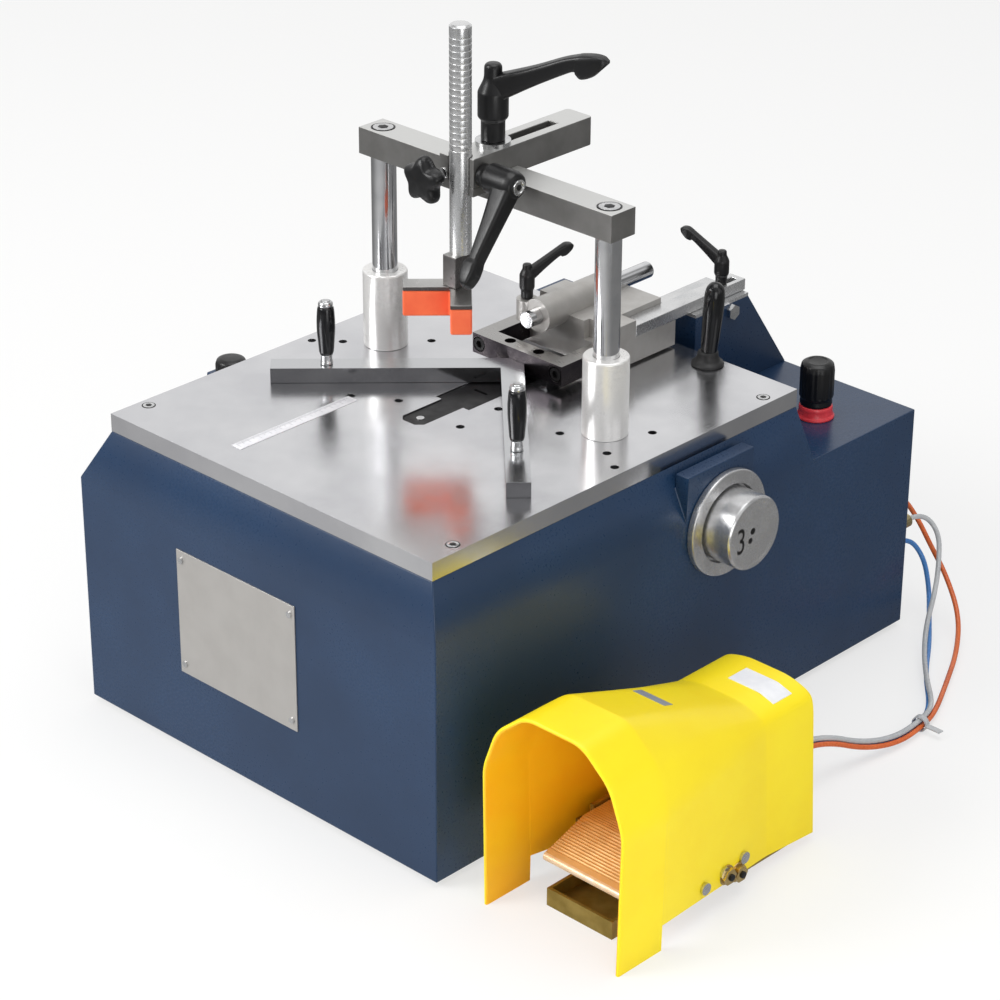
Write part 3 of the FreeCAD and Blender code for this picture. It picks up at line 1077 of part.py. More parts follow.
def rounded_path(points):
    """Straight runs joined by tangent arcs, each arc as large as its two runs allow."""
    edges = []
    start = points[0]
    smallest = math.inf
    for before, corner, after in zip(points, points[1:], points[2:]):
        way_in = corner - before
        way_out = after - corner
        turn = way_in.getAngle(way_out)
        reach = 0.45 * min(way_in.Length, way_out.Length)
        smallest = min(smallest, reach / math.tan(turn / 2))
        entry = corner - FreeCAD.Vector(way_in).normalize() * reach
        leave = corner + FreeCAD.Vector(way_out).normalize() * reach
        inward = (entry + leave) / 2 - corner
        radius = reach / math.tan(turn / 2)
        to_centre = radius / math.cos(turn / 2)
        middle = corner + FreeCAD.Vector(inward).normalize() * (to_centre - radius)
        edges.append(Part.LineSegment(start, entry).toShape())
        edges.append(Part.Arc(entry, middle, leave).toShape())
        start = leave
    edges.append(Part.LineSegment(start, points[-1]).toShape())
    return Part.Wire(edges), smallest


def make_tubes():
    radius = size("tube_radius")
    for name in ROUTES:
        points = route_points(name)
        path, smallest = rounded_path(points)
        direction = points[1] - points[0]
        ring = Part.Wire([Part.makeCircle(radius, points[0], direction)])
        tube = path.makePipeShell([ring], True, False)
        share = tube.Volume / (math.pi * radius ** 2 * path.Length)
        print(f"{name}: length {path.Length:.1f}, smallest radius {smallest:.1f}, volume share {share:.4f}")
        node(name, solid_feature("AirLine", tube))
    lanes = [FreeCAD.Vector(*shared_point(name, TIE_INDEX)) for name in ROUTES]
    middle = sum(lanes, FreeCAD.Vector()) / len(lanes)
    before = FreeCAD.Vector(*SHARED_ROUTE[TIE_INDEX - 1])
    after = FreeCAD.Vector(*SHARED_ROUTE[TIE_INDEX + 1])
    along = (after - before).normalize()
    turn = aim(along, FreeCAD.Vector(0, 0, -1).cross(along))
    start = middle - along * size("tie_width") / 2
    band = rod(f"{start.x:.3f}", f"{start.y:.3f}", f"{start.z:.3f}", "tie_inner + tie_wall", "tie_width",
               rotation=turn)
    room = rod(f"{start.x:.3f}", f"{start.y:.3f}", f"{start.z:.3f}", "tie_inner", "tie_width", rotation=turn)
    tail = span(f"{middle.x:.3f} + tie_inner + tie_wall / 2", f"{middle.x:.3f} + tie_inner + tie_tail",
                f"{middle.y:.3f} - tie_width / 2", f"{middle.y:.3f} + tie_width / 2",
                f"{middle.z:.3f} - tie_wall / 2", f"{middle.z:.3f} + tie_wall / 2")
    node("tie_wrap", cut(join(band, tail), room))


make_casing()
make_base()
make_table()
make_label()
make_press()
make_arm()
make_levers()
make_star_knob()
make_clamp_rod()
make_fences()
make_nose()
make_carriage()
make_tower()
make_hand_lever()
make_dial()
make_regulators()
make_driver()
make_pedal()
make_tubes()
doc.recompute()

faults = [item.Label for item in doc.Objects if {"Invalid", "Error"} & set(item.State)]
if faults:
    raise RuntimeError("these objects failed: " + ", ".join(faults))
for name, thing in NODES.items():
    if thing.Shape.isNull() or not thing.Shape.isValid() or not thing.Shape.Solids:
        raise RuntimeError(f"{name} has no valid shape")
os.makedirs("parts", exist_ok=True)
for name, thing in NODES.items():
    thing.Shape.exportStep(f"parts/{name}.step")
print(f"{len(NODES)} sub-parts written")
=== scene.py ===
# Looks of an air-powered corner joining machine for picture frames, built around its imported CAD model.
# Everything is in metres and in the frame of the model: X to the right, Y to the back, Z up.
import math

import bmesh
import bpy
import numpy as np
from mathutils import Matrix, Vector


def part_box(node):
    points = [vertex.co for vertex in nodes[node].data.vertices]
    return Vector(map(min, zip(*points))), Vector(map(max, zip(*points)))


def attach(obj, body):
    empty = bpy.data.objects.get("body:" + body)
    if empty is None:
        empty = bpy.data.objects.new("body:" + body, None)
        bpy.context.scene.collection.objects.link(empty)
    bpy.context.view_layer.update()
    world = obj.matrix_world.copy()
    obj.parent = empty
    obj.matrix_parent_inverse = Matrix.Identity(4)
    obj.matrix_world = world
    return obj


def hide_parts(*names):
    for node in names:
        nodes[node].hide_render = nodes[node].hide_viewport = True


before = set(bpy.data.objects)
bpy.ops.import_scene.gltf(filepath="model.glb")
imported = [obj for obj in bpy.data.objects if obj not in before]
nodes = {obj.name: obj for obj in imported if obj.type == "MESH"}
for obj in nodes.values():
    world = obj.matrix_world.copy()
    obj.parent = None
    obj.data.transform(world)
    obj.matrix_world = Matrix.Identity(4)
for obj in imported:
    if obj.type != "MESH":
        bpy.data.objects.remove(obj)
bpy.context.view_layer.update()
scene = bpy.context.scene
mm = 0.001
print("frame loaded:", len(nodes), "nodes")

# camera at the photograph's viewing angle, image 1000 x 1000
cameraSettings = {"azimuth": 43.761, "elevation": 26.983, "roll": 0.27, "lens": 115.07,
                  "place": (1.4897, -1.5631, 1.2406)}


def makeCamera(settings):
    turn, rise, roll = (math.radians(settings[key]) for key in ("azimuth", "elevation", "roll"))
    right = Vector((math.cos(turn), math.sin(turn), 0))
    back = Vector((math.sin(turn) * math.cos(rise), -math.cos(turn) * math.cos(rise), math.sin(rise)))
    up = back.cross(right)
    rolledRight = math.cos(roll) * right + math.sin(roll) * up
    rolledUp = math.cos(roll) * up - math.sin(roll) * right
    data = bpy.data.cameras.new("camera")
    data.lens = settings["lens"]
    data.sensor_width = 36
    data.clip_end = 50
    camera = bpy.data.objects.new("camera", data)
    scene.collection.objects.link(camera)
    turned = Matrix((rolledRight, rolledUp, back)).transposed().to_4x4()
    camera.matrix_world = Matrix.Translation(settings["place"]) @ turned
    scene.camera = camera


makeCamera(cameraSettings)


# sRGB hex to linear red, green, blue and alpha
def colour(hexValue):
    parts = [int(hexValue[i:i + 2], 16) / 255 for i in (1, 3, 5)]
    return tuple(c / 12.92 if c <= 0.04045 else ((c + 0.055) / 1.055) ** 2.4 for c in parts) + (1.0,)


# adds one node with its settings; a socket's value is a number, a colour or another node's output
def addNode(tree, kind, sockets=None, **fields):
    node = tree.nodes.new(kind)
    for key, value in fields.items():
        setattr(node, key, value)
    for key, value in (sockets or {}).items():
        if isinstance(value, bpy.types.NodeSocket):
            tree.links.new(value, node.inputs[key])
        else:
            node.inputs[key].default_value = value
    return node


# air tubes: their control points are the route of the CAD tubes
tubeSettings = {
    "diameter": 4.0,
    "shared": ((290, 166, 5), (296, 142.5, 5), (298, 110, 5), (291, 78, 11), (283, 46, 27), (281, 14, 35)),
    "tubes": {
        "redTube": {"node": "tube_red", "slot": "red_tube", "length": 486.2, "shift": (0, 0), "endX": 292,
                    "start": ((150, 277, 92), (150, 297, 92), (160, 308, 70), (178, 303, 54), (200, 296, 38),
                              (225, 282, 17), (248, 249.5, 6), (270, 206.5, 5))},
        "blueTube": {"node": "tube_blue", "slot": "blue_tube", "length": 449.0, "shift": (-4.7, 0),
                     "endX": 270,
                     "start": ((160, 277, 58), (160, 296, 58), (170, 306, 40), (186, 294, 22), (205, 270, 12),
                               (226, 243, 6), (250, 206, 5))},
        "clearTube": {"node": "tube_clear", "slot": "clear_tube", "length": 446.2, "shift": (-2.35, 4.1),
                      "endX": 281,
                      "start": ((172, 277, 84), (172, 296, 84), (184, 305, 68), (198, 288, 50),
                                (210, 268, 36), (222, 243, 24), (236, 222, 14), (258, 196, 9.5))},
    },
    "endY": (-22.5, -46.5), "endZ": 28,
}


# a smooth curve drawn by its control points; each point carries the tube's radius in metres, so that
# the curve's box is as tight as the tube
def makeTube(name, tube, settings):
    shiftX, shiftZ = tube["shift"]
    route = list(tube["start"])
    route += [(x + shiftX, y, z + shiftZ) for x, y, z in settings["shared"]]
    route += [(tube["endX"], y, settings["endZ"]) for y in settings["endY"]]
    data = bpy.data.curves.new(name, "CURVE")
    data.dimensions = "3D"
    data.bevel_depth = 1.0
    data.bevel_resolution = 6
    data.use_fill_caps = True
    spline = data.splines.new("NURBS")
    spline.points.add(len(route) - 1)
    for point, place in zip(spline.points, route):
        point.co = (place[0] * mm, place[1] * mm, place[2] * mm, 1)
        point.radius = settings["diameter"] / 2 * mm
    spline.order_u = 3
    spline.use_endpoint_u = True
    spline.resolution_u = 12
    piece = bpy.data.objects.new(name, data)
    scene.collection.objects.link(piece)
    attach(piece, "machine")
    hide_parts(tube["node"])
    return piece


tubes = {name: makeTube(name, tube, tubeSettings) for name, tube in tubeSettings["tubes"].items()}
print("camera and air tubes made")

# numpy surfaces: sizes are in mm and local axes until a grid is placed in the model's frame


# rounds the inner corners of a polyline: each corner becomes a quadratic curve between two points
# that lie a short cut away from it along its two sides
def roundCorners(points, cut, steps=4):
    points = np.asarray(points, float)
    corner = points[1:-1]
    toBefore, toAfter = points[:-2] - corner, points[2:] - corner
    first = corner + toBefore * np.minimum(cut / np.linalg.norm(toBefore, axis=1, keepdims=True), 0.48)
    last = corner + toAfter * np.minimum(cut / np.linalg.norm(toAfter, axis=1, keepdims=True), 0.48)
    share = np.linspace(0, 1, steps)[None, :, None]
    curve = ((1 - share) ** 2 * first[:, None] + 2 * share * (1 - share) * corner[:, None]
             + share ** 2 * last[:, None])
    return np.vstack((points[:1], curve.reshape(-1, points.shape[1]), points[-1:]))


# the same for a closed outline, whose last point joins its first
def roundOutline(points, cut, steps=4):
    points = np.asarray(points, float)
    middle = (points[-1:] + points[:1]) / 2
    return roundCorners(np.vstack((middle, points, middle)), cut, steps)[:-1]


# smooth curve through stations: between two of them a cubic with the mean slope of their neighbours
def smoothThrough(stations, count):
    stations = np.asarray(stations, float)
    place = np.linspace(0, len(stations) - 1, count)
    index = np.minimum(place.astype(int), len(stations) - 2)
    share = (place - index)[:, None]
    padded = np.vstack((2 * stations[:1] - stations[1:2], stations, 2 * stations[-1:] - stations[-2:-1]))
    before, start, end, after = (padded[index + step] for step in range(4))
    slopeStart, slopeEnd = (end - before) / 2, (after - start) / 2
    return (start * (2 * share ** 3 - 3 * share ** 2 + 1) + slopeStart * (share ** 3 - 2 * share ** 2 + share)
            + end * (3 * share ** 2 - 2 * share ** 3) + slopeEnd * (share ** 3 - share ** 2))


# turned shape: the profile's radius and height go round local Z; a shape function may change them
# with the angle, for lobes, flats and ribs
def turned(profile, cut=0.5, columns=48, shape=None):
    path = roundCorners(profile, cut)
    angle = np.arange(columns) * 2 * np.pi / columns
    radius, height = path[:, :1] + 0 * angle, path[:, 1:] + 0 * angle
    if shape:
        radius, height = shape(radius, height, angle)
    return np.stack((radius * np.cos(angle), radius * np.sin(angle), height), -1)


# bar along local X: at each station (x, top, bottom, half width) the section is a superellipse,
# |y / half width| ^ power + |z / half height| ^ power = 1
def swept(stations, power=4.0, rows=70, columns=28):
    x, top, bottom, half = (column[:, None] for column in smoothThrough(stations, rows).T)
    angle = np.arange(columns) * 2 * np.pi / columns
    across = np.sign(np.cos(angle)) * np.abs(np.cos(angle)) ** (2 / power)
    upward = np.sign(np.sin(angle)) * np.abs(np.sin(angle)) ** (2 / power)
    return np.stack((x + 0 * angle, half * across, (top + bottom) / 2 + (top - bottom) / 2 * upward), -1)


# plate: a closed outline (x, y) from the lowest to the highest height, drawn in towards its middle
# by the edge's width at both faces, as a rounded edge does
def plate(outline, low, high, edge=0.3):
    outline = np.asarray(outline, float)
    middle = outline.mean(0)
    reach = np.linalg.norm(outline - middle, axis=1).max()
    turn = np.linspace(0, np.pi / 2, 3)
    drawnIn = np.concatenate((edge * (1 - np.sin(turn)), edge * (1 - np.sin(turn[::-1]))))
    height = np.concatenate((low + edge * (1 - np.cos(turn)), high - edge * (1 - np.cos(turn[::-1]))))
    across = middle + (outline - middle) * (1 - drawnIn / reach)[:, None, None]
    return np.concatenate((across, height[:, None, None] + 0 * across[..., :1]), -1)


def circle(radius, columns=32, middle=(0, 0)):
    angle = np.arange(columns) * 2 * np.pi / columns
    return np.stack((middle[0] + radius * np.cos(angle), middle[1] + radius * np.sin(angle)), -1)


def rectangle(x0, x1, y0, y1, corner=0.5):
    return roundOutline(((x0, y0), (x1, y0), (x1, y1), (x0, y1)), corner)


# from local mm to metres in the model's frame; local X and Z are given and Y completes them
def placed(grid, origin=(0, 0, 0), xAxis=(1, 0, 0), zAxis=(0, 0, 1)):
    up = np.array(zAxis, float) / np.linalg.norm(zAxis)
    along = np.array(xAxis, float)
    along = along - along @ up * up
    along /= np.linalg.norm(along)
    return (np.asarray(origin, float) + grid @ np.stack((along, np.cross(up, along), up))) * mm


# one closed shell from a grid of points: the last column joins the first, and the two end rows are
# closed by a fan to their middle, or by a strip where the columns pair up across a flat section
def makeShell(grid, finish=0, ends="fan"):
    rows, columns = grid.shape[:2]
    i, j = np.meshgrid(np.arange(rows - 1), np.arange(columns), indexing="ij")
    following = (j + 1) % columns
    quads = np.stack((i * columns + j, i * columns + following, (i + 1) * columns + following,
                      (i + 1) * columns + j), -1).reshape(-1, 4)
    finishOf = np.broadcast_to(finish, (rows - 1, columns)).ravel()
    points = grid.reshape(-1, 3)
    around = np.arange(columns)
    endFinish = int(np.ravel(finish)[0])
    fans = np.empty((0, 3), int)
    if ends == "fan":
        hubs = len(points) + np.arange(2)
        points = np.vstack((points, grid[0].mean(0), grid[-1].mean(0)))
        last = (rows - 1) * columns
        fans = np.vstack((np.stack(((around + 1) % columns, around, 0 * around + hubs[0]), -1),
                          np.stack((last + around, last + (around + 1) % columns, 0 * around + hubs[1]), -1)))
    else:
        near = np.arange(columns // 2 - 1)
        strip = np.stack((near, columns - 1 - near, columns - 2 - near, near + 1), -1)
        quads = np.vstack((quads, strip, strip[:, ::-1] + (rows - 1) * columns))
        finishOf = np.concatenate((finishOf, np.full(2 * len(near), endFinish)))
    corners = np.vstack((quads[:, (0, 1, 2)], quads[:, (0, 2, 3)], fans))
    a, b, c = (points[corners[:, k]] for k in range(3))
    if np.sum(a * np.cross(b, c)) < 0:  # faces point outwards
        quads, fans = quads[:, ::-1], fans[:, ::-1]
    return {"points": points, "faces": quads.tolist() + fans.tolist(),
            "finish": np.concatenate((finishOf, np.full(len(fans), endFinish)))}


# joins shells in one mesh, gives it its finishes and lets it ride on a body
def makePiece(name, shells, body, finishNames, node=None, sharp=40):
    starts = np.cumsum([0] + [len(shell["points"]) for shell in shells])
    points = np.vstack([shell["points"] for shell in shells])
    faces = [[corner + start for corner in face]
             for shell, start in zip(shells, starts) for face in shell["faces"]]
    finish = np.concatenate([shell["finish"] for shell in shells]).astype(np.int32)
    mesh = bpy.data.meshes.new(name)
    mesh.from_pydata(points, [], faces)
    mesh.polygons.foreach_set("material_index", finish)
    mesh.polygons.foreach_set("use_smooth", np.ones(len(faces), bool))
    mesh.update()
    mesh.set_sharp_from_angle(angle=math.radians(sharp))
    for finishName in finishNames:
        mesh.materials.append(finishes[finishName])
    piece = bpy.data.objects.new(name, mesh)
    scene.collection.objects.link(piece)
    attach(piece, body)
    if node:
        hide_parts(node)
    return piece


# a machined CAD part with its edges broken: its mesh is copied, merged and flattened, and a bevel
# runs along every edge sharper than the angle
def soften(name, node, body, finishName, slot, width, segments=3, angle=32):
    mesh = nodes[node].data.copy()
    shape = bmesh.new()
    shape.from_mesh(mesh)
    bmesh.ops.remove_doubles(shape, verts=shape.verts, dist=0.002 * mm)
    bmesh.ops.dissolve_limit(shape, angle_limit=math.radians(1), verts=shape.verts, edges=shape.edges)
    shape.to_mesh(mesh)
    shape.free()
    mesh.materials.clear()
    mesh.materials.append(finishes[finishName])
    mesh.polygons.foreach_set("material_index", np.zeros(len(mesh.polygons), np.int32))
    mesh.polygons.foreach_set("use_smooth", np.ones(len(mesh.polygons), bool))
    mesh.name = name
    piece = bpy.data.objects.new(name, mesh)
    scene.collection.objects.link(piece)
    bevel = piece.modifiers.new("brokenEdges", "BEVEL")
    bevel.width = width * mm
    bevel.segments = segments
    bevel.limit_method = "ANGLE"
    bevel.angle_limit = math.radians(angle)
    level = piece.modifiers.new("flatFaces", "WEIGHTED_NORMAL")
    level.weight = 80
    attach(piece, body)
    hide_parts(node)
    return piece


# studio: pale floor, soft key from the front left, broad light above, and a room that metal reflects
studioSettings = {"floorHalf": 6.0, "floor": "#F3F3F2", "floorGlow": 0.62, "worldLight": 0.50,
                  "poolMiddle": (-0.05, -0.6, 0), "poolRadius": 1.1, "poolBright": 0.62, "poolDark": 0.22,
                  "skyBright": 0.62, "skyDark": 0.2, "wallDirection": (-0.69, 0.72, 0.3), "wallBright": 0.92,
                  "strips": (-101, -3), "stripHalf": 0.1}


# 1 where the camera, a glossy ray or a transmitted ray looks, 0 where light is gathered
def seenDirectly(tree):
    path = addNode(tree, "ShaderNodeLightPath")
    glossy = addNode(tree, "ShaderNodeMath", {0: path.outputs["Is Glossy Ray"],
                                              1: path.outputs["Is Transmission Ray"]}, operation="MAXIMUM")
    return path.outputs["Is Camera Ray"], glossy.outputs[0]


# the floor takes the object's shadow; metal and paint see it as a pool of light in front of the object
def makeFloor(settings):
    half = settings["floorHalf"]
    mesh = bpy.data.meshes.new("floor")
    corners = [(-half, -half, 0), (half, -half, 0), (half, half, 0), (-half, half, 0)]
    mesh.from_pydata(corners, [], [(0, 1, 2, 3)])
    floor = bpy.data.objects.new("floor", mesh)
    scene.collection.objects.link(floor)
    material = bpy.data.materials.new("paleFloor")
    material.use_nodes = True
    tree = material.node_tree
    tree.nodes.clear()
    camera, glossy = seenDirectly(tree)
    seen = addNode(tree, "ShaderNodeMath", {0: camera, 1: glossy}, operation="MAXIMUM")
    place = addNode(tree, "ShaderNodeTexCoord")
    away = addNode(tree, "ShaderNodeVectorMath", {0: place.outputs["Object"], 1: settings["poolMiddle"]},
                   operation="DISTANCE")
    pool = addNode(tree, "ShaderNodeMapRange",
                   {"Value": away.outputs["Value"], "From Min": 0.2, "From Max": settings["poolRadius"],
                    "To Min": settings["poolBright"], "To Max": settings["poolDark"]},
                   interpolation_type="SMOOTHSTEP")
    bright = addNode(tree, "ShaderNodeMix", {"Factor": camera, "A": pool.outputs[0], "B": 1.0})
    share = addNode(tree, "ShaderNodeMath", {0: seen.outputs[0], 1: settings["floorGlow"]},
                    operation="MULTIPLY")
    most = addNode(tree, "ShaderNodeMath", {0: glossy, 1: share.outputs[0]}, operation="MAXIMUM")
    lit = addNode(tree, "ShaderNodeBsdfDiffuse", {"Color": colour(settings["floor"])})
    glow = addNode(tree, "ShaderNodeEmission", {"Color": (1, 1, 1, 1), "Strength": bright.outputs[0]})
    both = addNode(tree, "ShaderNodeMixShader", {0: most.outputs[0], 1: lit.outputs[0], 2: glow.outputs[0]})
    addNode(tree, "ShaderNodeOutputMaterial", {"Surface": both.outputs[0]})
    mesh.materials.append(material)


# a tall soft box at an azimuth: 1 where the direction lies near its upright plane and ahead, else 0
def makeStrip(tree, direction, azimuth, half):
    turn = math.radians(azimuth)
    across = addNode(tree, "ShaderNodeVectorMath", {0: direction, 1: (-math.sin(turn), math.cos(turn), 0)},
                     operation="DOT_PRODUCT")
    ahead = addNode(tree, "ShaderNodeVectorMath", {0: direction, 1: (math.cos(turn), math.sin(turn), 0)},
                    operation="DOT_PRODUCT")
    aside = addNode(tree, "ShaderNodeMath", {0: across.outputs["Value"]}, operation="ABSOLUTE")
    within = addNode(tree, "ShaderNodeMapRange",
                     {"Value": aside.outputs[0], "From Min": half, "From Max": 1.6 * half,
                      "To Min": 1.0, "To Max": 0.0}, interpolation_type="SMOOTHSTEP")
    front = addNode(tree, "ShaderNodeMath", {0: ahead.outputs["Value"], 1: 0.0}, operation="GREATER_THAN")
    return addNode(tree, "ShaderNodeMath", {0: within.outputs[0], 1: front.outputs[0]},
                   operation="MULTIPLY").outputs[0]


# the world lights evenly; metal sees it as a room with a bright wall behind the object, two tall soft
# boxes left and right of the camera, and darker stands between them
def makeWorld(settings):
    world = bpy.data.worlds.new("studio")
    scene.world = world
    world.use_nodes = True
    tree = world.node_tree
    tree.nodes.clear()
    camera, glossy = seenDirectly(tree)
    place = addNode(tree, "ShaderNodeTexCoord")
    direction = place.outputs["Generated"]
    upright = addNode(tree, "ShaderNodeMapping", {"Vector": direction, "Scale": (1, 1, 0.14)})
    stands = addNode(tree, "ShaderNodeTexNoise",
                     {"Vector": upright.outputs["Vector"], "Scale": 4.2, "Detail": 1.0, "Roughness": 0.4})
    ramp = addNode(tree, "ShaderNodeMapRange",
                   {"Value": stands.outputs["Fac"], "From Min": 0.42, "From Max": 0.56,
                    "To Min": settings["skyDark"], "To Max": settings["skyBright"]},
                   interpolation_type="SMOOTHSTEP")
    facing = addNode(tree, "ShaderNodeVectorMath", {0: direction, 1: settings["wallDirection"]},
                     operation="DOT_PRODUCT")
    wall = addNode(tree, "ShaderNodeMapRange",
                   {"Value": facing.outputs["Value"], "From Min": 0.6, "From Max": 0.9},
                   interpolation_type="SMOOTHSTEP")
    room = addNode(tree, "ShaderNodeMix", {"Factor": wall.outputs[0], "A": ramp.outputs[0],
                                           "B": settings["wallBright"]}).outputs[0]
    for azimuth in settings["strips"]:
        strip = makeStrip(tree, direction, azimuth, settings["stripHalf"])
        room = addNode(tree, "ShaderNodeMix", {"Factor": strip, "A": room, "B": 1.0}).outputs[0]
    shown = addNode(tree, "ShaderNodeMix", {"Factor": camera, "A": room, "B": 1.0})
    seen = addNode(tree, "ShaderNodeMath", {0: camera, 1: glossy}, operation="MAXIMUM")
    even = addNode(tree, "ShaderNodeBackground", {"Color": (1, 1, 1, 1), "Strength": settings["worldLight"]})
    view = addNode(tree, "ShaderNodeBackground", {"Color": (1, 1, 1, 1), "Strength": shown.outputs[0]})
    both = addNode(tree, "ShaderNodeMixShader", {0: seen.outputs[0], 1: even.outputs[0], 2: view.outputs[0]})
    addNode(tree, "ShaderNodeOutputWorld", {"Surface": both.outputs[0]})


lampSettings = {
    "key": {"place": (-1.4, -2.6, 2.0), "size": 1.6, "power": 74},
    "top": {"place": (0.2, 0.2, 2.8), "size": 2.0, "power": 28},
    "side": {"place": (2.6, 0.8, 1.2), "size": 1.4, "power": 3},
    "low": {"place": (0.9, -0.5, 0.3), "size": 0.45, "power": 1.5, "target": (0.32, -0.15, 0.08)},
}


def makeLamp(name, settings):
    target = settings.get("target", (0, 0, 0.2))
    data = bpy.data.lights.new(name, "AREA")
    data.shape = "SQUARE"
    data.size = settings["size"]
    data.energy = settings["power"]
    lamp = bpy.data.objects.new(name, data)
    scene.collection.objects.link(lamp)
    lamp.location = settings["place"]
    lamp.rotation_mode = "QUATERNION"
    lamp.rotation_quaternion = (Vector(target) - lamp.location).to_track_quat("-Z", "Y")


scene.view_settings.view_transform = "Standard"
makeFloor(studioSettings)
makeWorld(studioSettings)
for lampName, lamp in lampSettings.items():
    makeLamp(lampName, lamp)
print("studio made")

